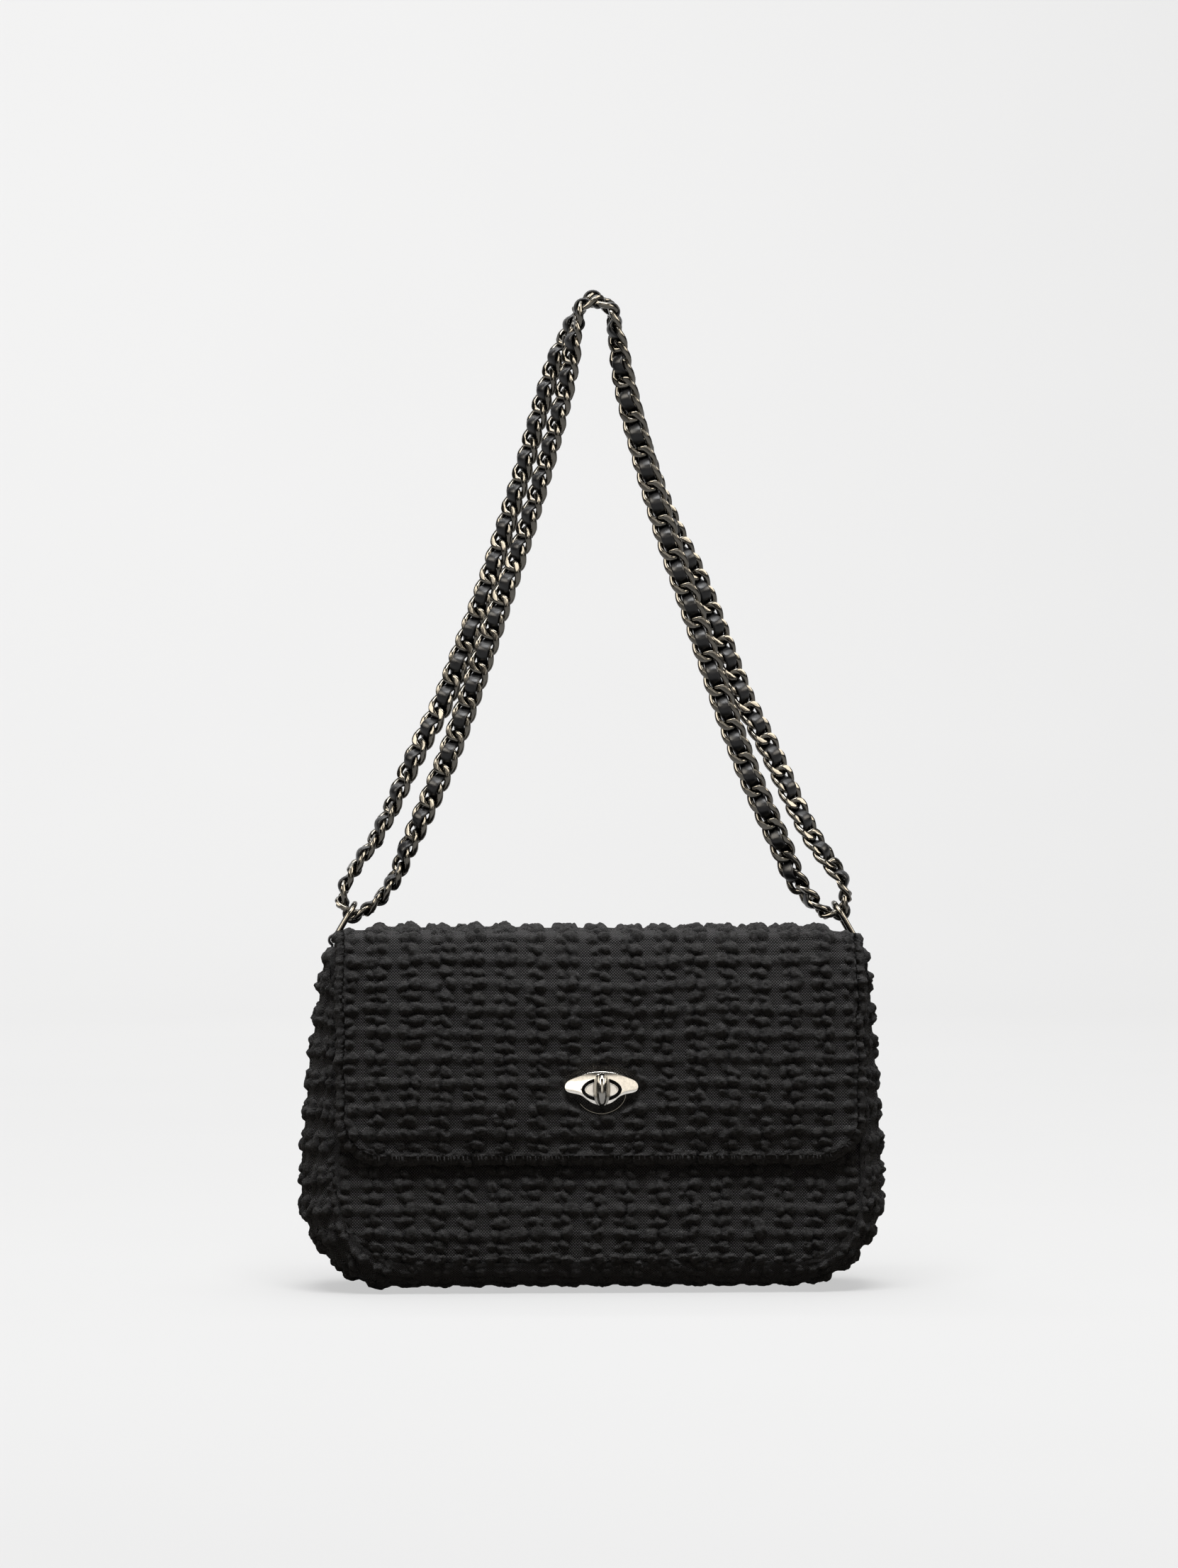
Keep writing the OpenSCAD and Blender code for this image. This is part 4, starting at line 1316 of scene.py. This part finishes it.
def smooth_loop(points, steps):
    """A smooth closed curve through the points."""
    before, after = np.roll(points, 1, 0), np.roll(points, -1, 0)
    later = np.roll(points, -2, 0)
    step = np.linalg.norm(after - points, axis=1, keepdims=True)
    leave = step * unit(after - before)
    arrive = step * unit(later - points)
    parts = []
    for k in range(steps):
        t = k / steps
        parts.append(
            (2 * t**3 - 3 * t**2 + 1) * points
            + (t**3 - 2 * t**2 + t) * leave
            + (3 * t**2 - 2 * t**3) * after
            + (t**3 - t**2) * arrive
        )
    return np.stack(parts, axis=1).reshape(-1, 3)


route, route_twist, run_sizes = chain_route()
ROUTE_STEPS = 12
line = smooth_loop(route, ROUTE_STEPS)
line_twist = np.interp(
    np.arange(len(line)) / ROUTE_STEPS,
    np.arange(len(route) + 1),
    np.append(route_twist, route_twist[0]),
)
line_step = np.linalg.norm(np.roll(line, -1, 0) - line, axis=1)
line_run = np.concatenate([[0], np.cumsum(line_step)])
loop_length = line_run[-1]
link_count = 2 * round(loop_length / LINK_PITCH / 2)
link_step = loop_length / link_count
first_link = -link_step / 2


def line_at(run):
    """Point and twist of the chain's middle line at each length."""
    run = np.mod(run, loop_length)
    closed = np.vstack([line, line[:1]])
    twist = np.append(line_twist, line_twist[0])
    point = np.stack([np.interp(run, line_run, closed[:, k]) for k in range(3)], axis=-1)
    return point, np.radians(np.interp(run, line_run, twist))


def chain_frames(axis, twist):
    """The ways across and out of the chain's broad side."""
    front = unit(-Y_AXIS + (axis @ Y_AXIS)[:, None] * axis)
    inward = np.cross(axis, front)
    out = np.cos(twist)[:, None] * front + np.sin(twist)[:, None] * inward
    return np.cross(out, axis), out


def link_template():
    """One twisted link with the flats that are ground on its broad sides."""
    count, around = 40, 14
    t = np.linspace(0, 2 * math.pi, count, endpoint=False)
    centre = np.stack([LINK_A * np.cos(t), LINK_B * np.sin(t), -LINK_TWIST * np.sin(2 * t)], axis=1)
    way = unit(
        np.stack(
            [-LINK_A * np.sin(t), LINK_B * np.cos(t), -2 * LINK_TWIST * np.cos(2 * t)], axis=1
        )
    )
    side = unit(np.cross(way, Z_AXIS))
    up = np.cross(side, way)
    points, faces = sweep(
        centre, side, up, rounded_section(LINK_WIRE, LINK_WIRE, 1.0, around), True
    )
    points[:, 2] = np.clip(points[:, 2], -FACET, FACET)
    return points, faces


def place_links(first, count):
    points, faces = link_template()
    index = np.arange(first, first + count)
    start, _ = line_at(first_link + index * link_step)
    end, _ = line_at(first_link + (index + 1) * link_step)
    _, twist = line_at(first_link + (index + 0.5) * link_step)
    axis = unit(end - start)
    across, out = chain_frames(axis, twist)
    turns = np.stack([axis, across, out], axis=1)
    middles = (start + end) / 2
    return join([(points @ turn + middle, faces) for turn, middle in zip(turns, middles)])


TURN_LINKS = 4
right_turn_run = line_run[ROUTE_STEPS * sum(run_sizes[:4])]
right_first = round((right_turn_run - first_link) / link_step)
rear_first = right_first + TURN_LINKS
chain_parts = (
    ("left_turn_chain", "left_turn_links", 0, TURN_LINKS),
    ("front_chain_links", "front_chain", TURN_LINKS, right_first - TURN_LINKS),
    ("right_turn_chain", "right_turn_links", right_first, TURN_LINKS),
    ("rear_chain_links", "rear_chain", rear_first, link_count - rear_first),
)
for name, node, first, count in chain_parts:
    links = mesh_piece(name, *place_links(first, count), GUNMETAL, sharp=34)
    fit(links, "strap", "chain_metal", node)


def lace():
    samples = link_count * LACE_STEPS
    place = np.arange(samples) / LACE_STEPS
    run = first_link + place * link_step
    point, twist = line_at(run)
    ahead, _ = line_at(run + LACE_LOOK)
    behind, _ = line_at(run - LACE_LOOK)
    axis = unit(ahead - behind)
    across, out = chain_frames(axis, twist)
    swing = FACET + LACE_T / 2 + LACE_CLEAR
    wave = np.cos(place * math.pi)
    lift = swing * np.sign(wave) * np.abs(wave) ** LACE_WAVE
    centre = point + lift[:, None] * out
    way = unit(np.roll(centre, -1, 0) - np.roll(centre, 1, 0))
    thick = unit(np.cross(way, across))
    return sweep(centre, across, thick, rounded_section(LACE_W, LACE_T, LACE_ROUND, 16), True)


fit(mesh_piece("strap_lace", *lace(), LEATHER), "strap", "leather", "front_lace", "rear_lace")


# Rings and tabs


def ring(side):
    """A D-shaped wire ring that leans inwards from its bar."""
    leg = RING_H - RING_HALF
    corner = RING_WIRE / 2
    bar = [(y, 0.0) for y in np.linspace(-RING_HALF + corner, RING_HALF - corner, 12)]
    upright = [
        (RING_HALF - corner + corner * s, corner - corner * c)
        for c, s in arc(0, math.pi / 2, 5)[1:]
    ]
    upright += [(RING_HALF, h) for h in np.linspace(corner, leg, 10)[1:-1]]
    bow = [(RING_HALF * c, leg + RING_HALF * s) for c, s in arc(0, math.pi, 40)]
    local = np.array(bar + upright + bow + [(-y, h) for y, h in upright[::-1]])
    up = np.array([-side * RING_SIN, 0, RING_COS])
    base = np.array([side * TAB_X, STRAP_Y, TAB_Z])
    centre = base + local[:, :1] * Y_AXIS + local[:, 1:] * up
    way = unit(np.roll(centre, -1, 0) - np.roll(centre, 1, 0))
    flat = np.broadcast_to(np.cross(Y_AXIS, up), centre.shape)
    return sweep(
        centre, unit(np.cross(way, flat)), flat, rounded_section(RING_WIRE, RING_WIRE, 1.0, 16), True
    )


TAB_PLY = 1.2
TAB_W = 10.8
TAB_LOOP_R = 2.0
TAB_SPREAD = 0.66
TAB_SEWN = 3.0


def tab(side):
    """A leather strip folded round the ring's bar, with its two ends side by side below."""
    radius, spread = TAB_LOOP_R, TAB_SPREAD
    foot = GUSSET_TOP - TAB_SEWN
    meet = -math.acos(spread / radius)
    local = [(spread, z) for z in np.linspace(foot, TAB_Z + radius * math.sin(meet), 8)[:-1]]
    local += [(radius * c, TAB_Z + radius * s) for c, s in arc(meet, math.pi - meet, 30)]
    local += [(-spread, z) for z in np.linspace(TAB_Z + radius * math.sin(meet), foot, 8)[1:]]
    local = np.array(local)
    centre = np.stack(
        [side * TAB_X + local[:, 0], np.full(len(local), STRAP_Y), local[:, 1]], axis=1
    )
    way = unit(np.gradient(centre, axis=0))
    wide = np.broadcast_to(Y_AXIS, centre.shape)
    return sweep(centre, wide, np.cross(way, wide), rounded_section(TAB_W, TAB_PLY, 0.5, 24), False)


for side, word in ((-1, "left"), (1, "right")):
    metal = mesh_piece(word + "_d_ring", *ring(side), GUNMETAL)
    fit(metal, "strap", "ring_metal", word + "_ring")
    strip = mesh_piece(word + "_leather_tab", *tab(side), LEATHER, sharp=50)
    bend(strip, "bag_body", "strap", (STRAP_Y, GUSSET_TOP + 1), (STRAP_Y, TAB_Z - 2))
    fit(strip, None, "leather", word + "_tab")


# Turn lock

LOCK_FOOT = np.array([0, -BASE_HALF + LOCK_Z * LEAN_TAN, LOCK_Z])
LOCK_UP = np.array([0, LEAN_SIN, LEAN_COS])
LOCK_OUT = np.array([0, -LEAN_COS, LEAN_SIN])
PLATE_TIP = 0.9
# Half of the plate's outline, from the middle of its lower edge to that of its upper edge
PLATE_SHARES = (0.0, 0.12, 0.22, 0.3, 0.38, 0.45, 0.51, 0.57, 0.64, 0.72, 0.8, 0.88, 1.0)
PLATE_ACROSS = (0.0, 3.5, 6.5, 9.0, 12.0, 14.6, 15.6, 15.4, 14.0, 11.0, 7.6, 4.6, 0.0)
PLATE_UP = (-7.4, -6.8, -4.8, -3.1, -2.4, -1.9, -0.3, 1.4, 3.0, 4.4, 5.6, 6.3, 6.8)
PLATE_SMOOTHING = 6
OVAL_POWER = 1.06
PLATE_RIM = (20.6, 16.2)
PLATE_RIM_DROP = -1.8
PLATE_FOOT = 2.9
PLATE_EDGE = 6.78
DOME_EDGE = 6.8
DOME_RISE = 0.6
DOME_ROUND = 1.3
DOME_START = 0.03
DOME_ROWS = 12
EYE = (17.0, 10.0)
EYE_WALL = 0.985
EYE_EDGE = 7.2
EYE_FOOT = 4.6
RIM_GROWTH = (0.3, 0.15, -0.15, -0.3)
RIM_LEVELS = (2.8, 3.7, 3.7, 2.8)
SEAT_LEVELS = (2.5, 3.3, 3.1, 2.5)
SEAT_INNER = 0.9
BOSS = (14.2, 6.9)
# The boss's rings from its foot to the middle of its face: share of its size, level
BOSS_RINGS = (
    (1.0, 2.0), (1.0, 6.8), (0.985, 7.0), (0.95, 7.05), (0.92, 6.95), (0.9, 6.6), (0.6, 6.58),
    (0.3, 6.6), (0.02, 6.6),
)
# Half of the knob's section, from its foot up the side strip and the groove to the fin's top
KNOB_SECTION = (
    (-3.6, 0.0), (-3.6, 1.2), (-3.45, 1.5), (-2.3, 1.72), (-2.15, 1.2), (-2.0, 1.3),
    (-1.96, 2.9), (-1.8, 3.7), (-1.4, 4.38), (-0.75, 4.82), (0.0, 4.95),
)
KNOB_HALF_LEN = 6.9
KNOB_FOOT = 7.3
KNOB_STRIP = 1.8
KNOB_ROWS = 31
KNOB_TAPER = 2.6
KNOB_ROUND = 0.75
KNOB_END_W = 0.0004
KNOB_END_H = 0.02
OUTLINE_POINTS = 128


def lock_place(points):
    """From the lock's own frame, across, up and out, into the bag's."""
    points = np.asarray(points, float)
    return (
        LOCK_FOOT + points[:, :1] * X_AXIS + points[:, 1:2] * LOCK_UP + points[:, 2:] * LOCK_OUT
    )


def oval_outline(width, height, count=OUTLINE_POINTS):
    """An oval with slightly pointed ends."""
    return rounded_section(width, height, OVAL_POWER, count)


def plate_outline():
    """Shoulders above the tips, and an edge that draws in below them."""
    angles = np.linspace(0, 2 * math.pi, OUTLINE_POINTS, endpoint=False)
    share = np.abs(((angles / math.pi - 0.5) % 2) - 1)
    across = np.interp(share, PLATE_SHARES, PLATE_ACROSS) * np.sign(np.cos(angles))
    up = np.interp(share, PLATE_SHARES, PLATE_UP)
    outline = np.stack([across, up + PLATE_TIP], axis=1)
    for _ in range(PLATE_SMOOTHING):
        outline = (outline + np.roll(outline, 1, 0) + np.roll(outline, -1, 0)) / 3
    return outline


def loft(outlines, levels, closed=False):
    """Rings of equal size joined one after the other."""
    points = [np.column_stack([o, np.full(len(o), z)]) for o, z in zip(outlines, levels)]
    rows, columns = len(outlines), len(outlines[0])
    faces = grid_faces(rows, columns, closed_rows=closed, closed_columns=True)
    return lock_place(np.vstack(points)), faces


def lock_plate():
    """A bright shallow dome round an open eye."""
    face, eye = plate_outline(), oval_outline(*EYE)
    rings, levels = [face, face], [PLATE_FOOT, PLATE_EDGE]
    for share in np.linspace(DOME_START, 1, DOME_ROWS):
        rings.append(face * (1 - share) + eye * share)
        levels.append(DOME_EDGE + DOME_RISE * (1 - (1 - share) ** DOME_ROUND))
    rings += [eye * EYE_WALL, eye * EYE_WALL]
    levels += [EYE_EDGE, EYE_FOOT]
    return loft(rings, levels, closed=True)


def rim_outline(growth=0.0):
    width, height = PLATE_RIM
    return oval_outline(width + growth, height + growth) + (0, PLATE_RIM_DROP)


def lock_rim():
    """The thin edge of the plate's foot that shows below its dome."""
    return loft([rim_outline(growth) for growth in RIM_GROWTH], RIM_LEVELS, closed=True)


def lock_shade_band():
    """A near-black band between the plate's dome and its rim: painted shade for the dark gap under
    the dome's lower edge.
    """
    outer, inner = rim_outline(), plate_outline() * SEAT_INNER
    return loft([outer, outer, inner, inner], SEAT_LEVELS, closed=True)


def lock_boss():
    """The base plate's boss that stands in the eye, with a thin raised edge."""
    count = OUTLINE_POINTS // 2
    rings = [oval_outline(*BOSS, count) * scale for scale, _ in BOSS_RINGS]
    points, faces = loft(rings, [level for _, level in BOSS_RINGS])
    faces.append(tuple(range(len(points) - count, len(points))))
    return points, faces


def lock_knob():
    """A fin between two side strips, lower and narrower towards its ends."""
    section = np.array(KNOB_SECTION)
    section = np.vstack([section, (section[:-1] * (-1, 1))[::-1]])
    across, up = section[:, 0], section[:, 1]
    strip, fin = np.minimum(up, KNOB_STRIP), np.maximum(up - KNOB_STRIP, 0)
    size = len(section)
    rows = []
    for way in np.sin(np.linspace(-math.pi / 2, math.pi / 2, KNOB_ROWS)):
        wide = math.sqrt(max(KNOB_END_W, 1 - way**2)) ** KNOB_ROUND
        tall = max(KNOB_END_H, 1 - abs(way) ** KNOB_TAPER) ** 0.5
        level = KNOB_FOOT + strip * (0.5 + 0.5 * tall) + fin * tall
        rows.append(np.column_stack([across * wide, np.full(size, way * KNOB_HALF_LEN), level]))
    faces = grid_faces(len(rows), size, closed_columns=True) + end_caps(len(rows), size)
    return lock_place(np.vstack(rows)), faces


for name, shape, material, sharp, body, slot, nodes in (
    ("lock_face", lock_plate(), NICKEL, 60, "flap_front", "lock_metal", ("lock_plate",)),
    ("lock_painted_gap_shade", lock_shade_band(), PAINTED_GAP_SHADE, 60, "flap_front", "lock_inner", ()),
    ("lock_rim", lock_rim(), GUNMETAL, 60, "flap_front", "lock_metal", ()),
    ("lock_boss", lock_boss(), SATIN_NICKEL, 50, "bag_body", "lock_metal", ("lock_base",)),
    ("lock_knob", lock_knob(), NICKEL_PAINTED_DARK, 35, "turn_knob", "lock_metal", ("turn_knob",)),
):
    fit(mesh_piece(name, *shape, material, sharp=sharp), body, slot, *nodes)


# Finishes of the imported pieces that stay

FINISHES = {
    "lining": LINING,
    "board": BOARD,
    "padding": BOARD,
    "lock_inner": STEEL,
    "lock_metal": NICKEL,
    "leather": LEATHER,
    "tweed": TWEED,
    "ring_metal": GUNMETAL,
    "chain_metal": GUNMETAL,
}
for part in frame["record"]["subparts"]:
    node = frame["nodes"][part["node"]]
    node.data.materials.clear()
    node.data.materials.append(FINISHES[part["material_slot"]])


# Stage

FLOOR_FRONT = -6.0
FLOOR_HALF = 7.0
SWEEP_BEND = 1.6
SWEEP_BACK = 4.2
SWEEP_TOP = 6.0


def stage_sweep():
    """The floor runs up into the backdrop in one wide curve."""
    start = SWEEP_BACK - SWEEP_BEND
    profile = [(FLOOR_FRONT, 0.0), (start, 0.0)]
    profile += [
        (start + SWEEP_BEND * s, SWEEP_BEND * (1 - c)) for c, s in arc(0, math.pi / 2, 24)[1:]
    ]
    profile.append((SWEEP_BACK, SWEEP_TOP))
    points = [(x, y, z) for y, z in profile for x in (-FLOOR_HALF, FLOOR_HALF)]
    return np.array(points) / MM, grid_faces(len(profile), 2)


PAPER_GLOW = 0.545


def stage_material():
    """Pale paper that shows as an even white-grey and gives the object little bounced light."""
    m = Material("paper")
    grain = m.noise(3.0, 2.0)
    path = m.new("LightPath")
    seen = m.math("MAXIMUM", path.outputs["Is Camera Ray"], path.outputs["Is Glossy Ray"])
    seen = m.math("MAXIMUM", seen, path.outputs["Is Transmission Ray"])
    shown = m.blend(grain, colour(0.195, 0.195, 0.195), colour(0.205, 0.205, 0.205))
    m.set(
        Base_Color=m.blend(seen, colour(0.09, 0.08, 0.065), shown),
        Roughness=0.95,
        Emission_Strength=m.math("MULTIPLY", seen, PAPER_GLOW),
    )
    m.shader.inputs["Emission Color"].default_value = colour(1.0, 1.0, 1.0)
    m.shader.inputs["Specular IOR Level"].default_value = 0.0
    return m.material


floor = mesh_piece("paper_sweep", *stage_sweep(), stage_material())


def area_light(name, place, target, width, height, power):
    data = bpy.data.lights.new(name, "AREA")
    data.shape = "RECTANGLE"
    data.size = width
    data.size_y = height
    data.energy = power
    light = bpy.data.objects.new(name, data)
    light.location = place
    way = unit(np.array(target, float) - np.array(place, float))
    light.rotation_euler = Vector(way).to_track_quat("-Z", "Y").to_euler()
    bpy.context.scene.collection.objects.link(light)


LOOK_AT = (0, 0, 0.13)
# Each light's name, place, target, width and height in metres, and power in watts
for light in (
    ("key", (-0.1, -0.8, 2.1), LOOK_AT, 1.4, 0.7, 52),
    ("front_panel_light", (-0.3, -2.75, 0.72), LOOK_AT, 1.1, 0.85, 3),
    ("left_strip", (-1.9, -0.9, 1.1), LOOK_AT, 0.4, 1.5, 0.6),
    ("right_strip", (1.9, -1.0, 1.1), LOOK_AT, 0.4, 1.5, 0.8),
    ("top", (0.1, 0.2, 2.3), (0, 0, 0), 2.0, 1.4, 36),
    ("backdrop_light", (-0.5, 2.0, 3.2), (-0.3, 4.2, 1.2), 4.0, 1.0, 195),
):
    area_light(*light)


SCREEN = 1.25
GLINT = 10.0
SEEN = 0.8
FILL = 0.04


def studio_world():
    """A dim warm fill, with a pale screen and two bright ones in front that only gloss shows."""
    world = bpy.data.worlds.new("studio")
    world.use_nodes = True
    m = Nodes(world.node_tree)
    back = world.node_tree.nodes["Background"]
    split = m.new("SeparateXYZ")
    m.put(split.inputs[0], m.new("TexCoord").outputs["Generated"])
    to_right, to_back, up = split.outputs
    aside = m.math("ABSOLUTE", to_right)
    path = m.new("LightPath")

    def patch(strength, *edges):
        """Light inside a patch of sky. Each edge is a direction, where it is dark and where full."""
        for way, dark, full in edges:
            strength = m.math("MULTIPLY", m.spread(way, dark, full), strength)
        return strength

    screen = patch(
        SCREEN, (up, -0.03, 0.06), (up, 0.6, 0.5), (to_back, 0.0, -0.3), (aside, 0.5, 0.4)
    )
    glint = patch(
        GLINT, (up, 0.3, 0.36), (up, 0.8, 0.74), (to_back, 0.0, -0.1), (aside, 0.46, 0.52)
    )
    shown = m.math("MULTIPLY", m.math("ADD", screen, glint), path.outputs["Is Glossy Ray"])
    direct = m.math("MAXIMUM", path.outputs["Is Camera Ray"], path.outputs["Is Transmission Ray"])
    fill = m.math("ADD", m.math("MULTIPLY", direct, SEEN), FILL)
    m.put(back.inputs["Color"], m.blend(direct, colour(1.0, 0.93, 0.82), colour(1.0, 1.0, 1.0)))
    m.put(back.inputs["Strength"], m.math("ADD", shown, fill))
    return world


bpy.context.scene.world = studio_world()
bpy.context.scene.view_settings.view_transform = "Standard"
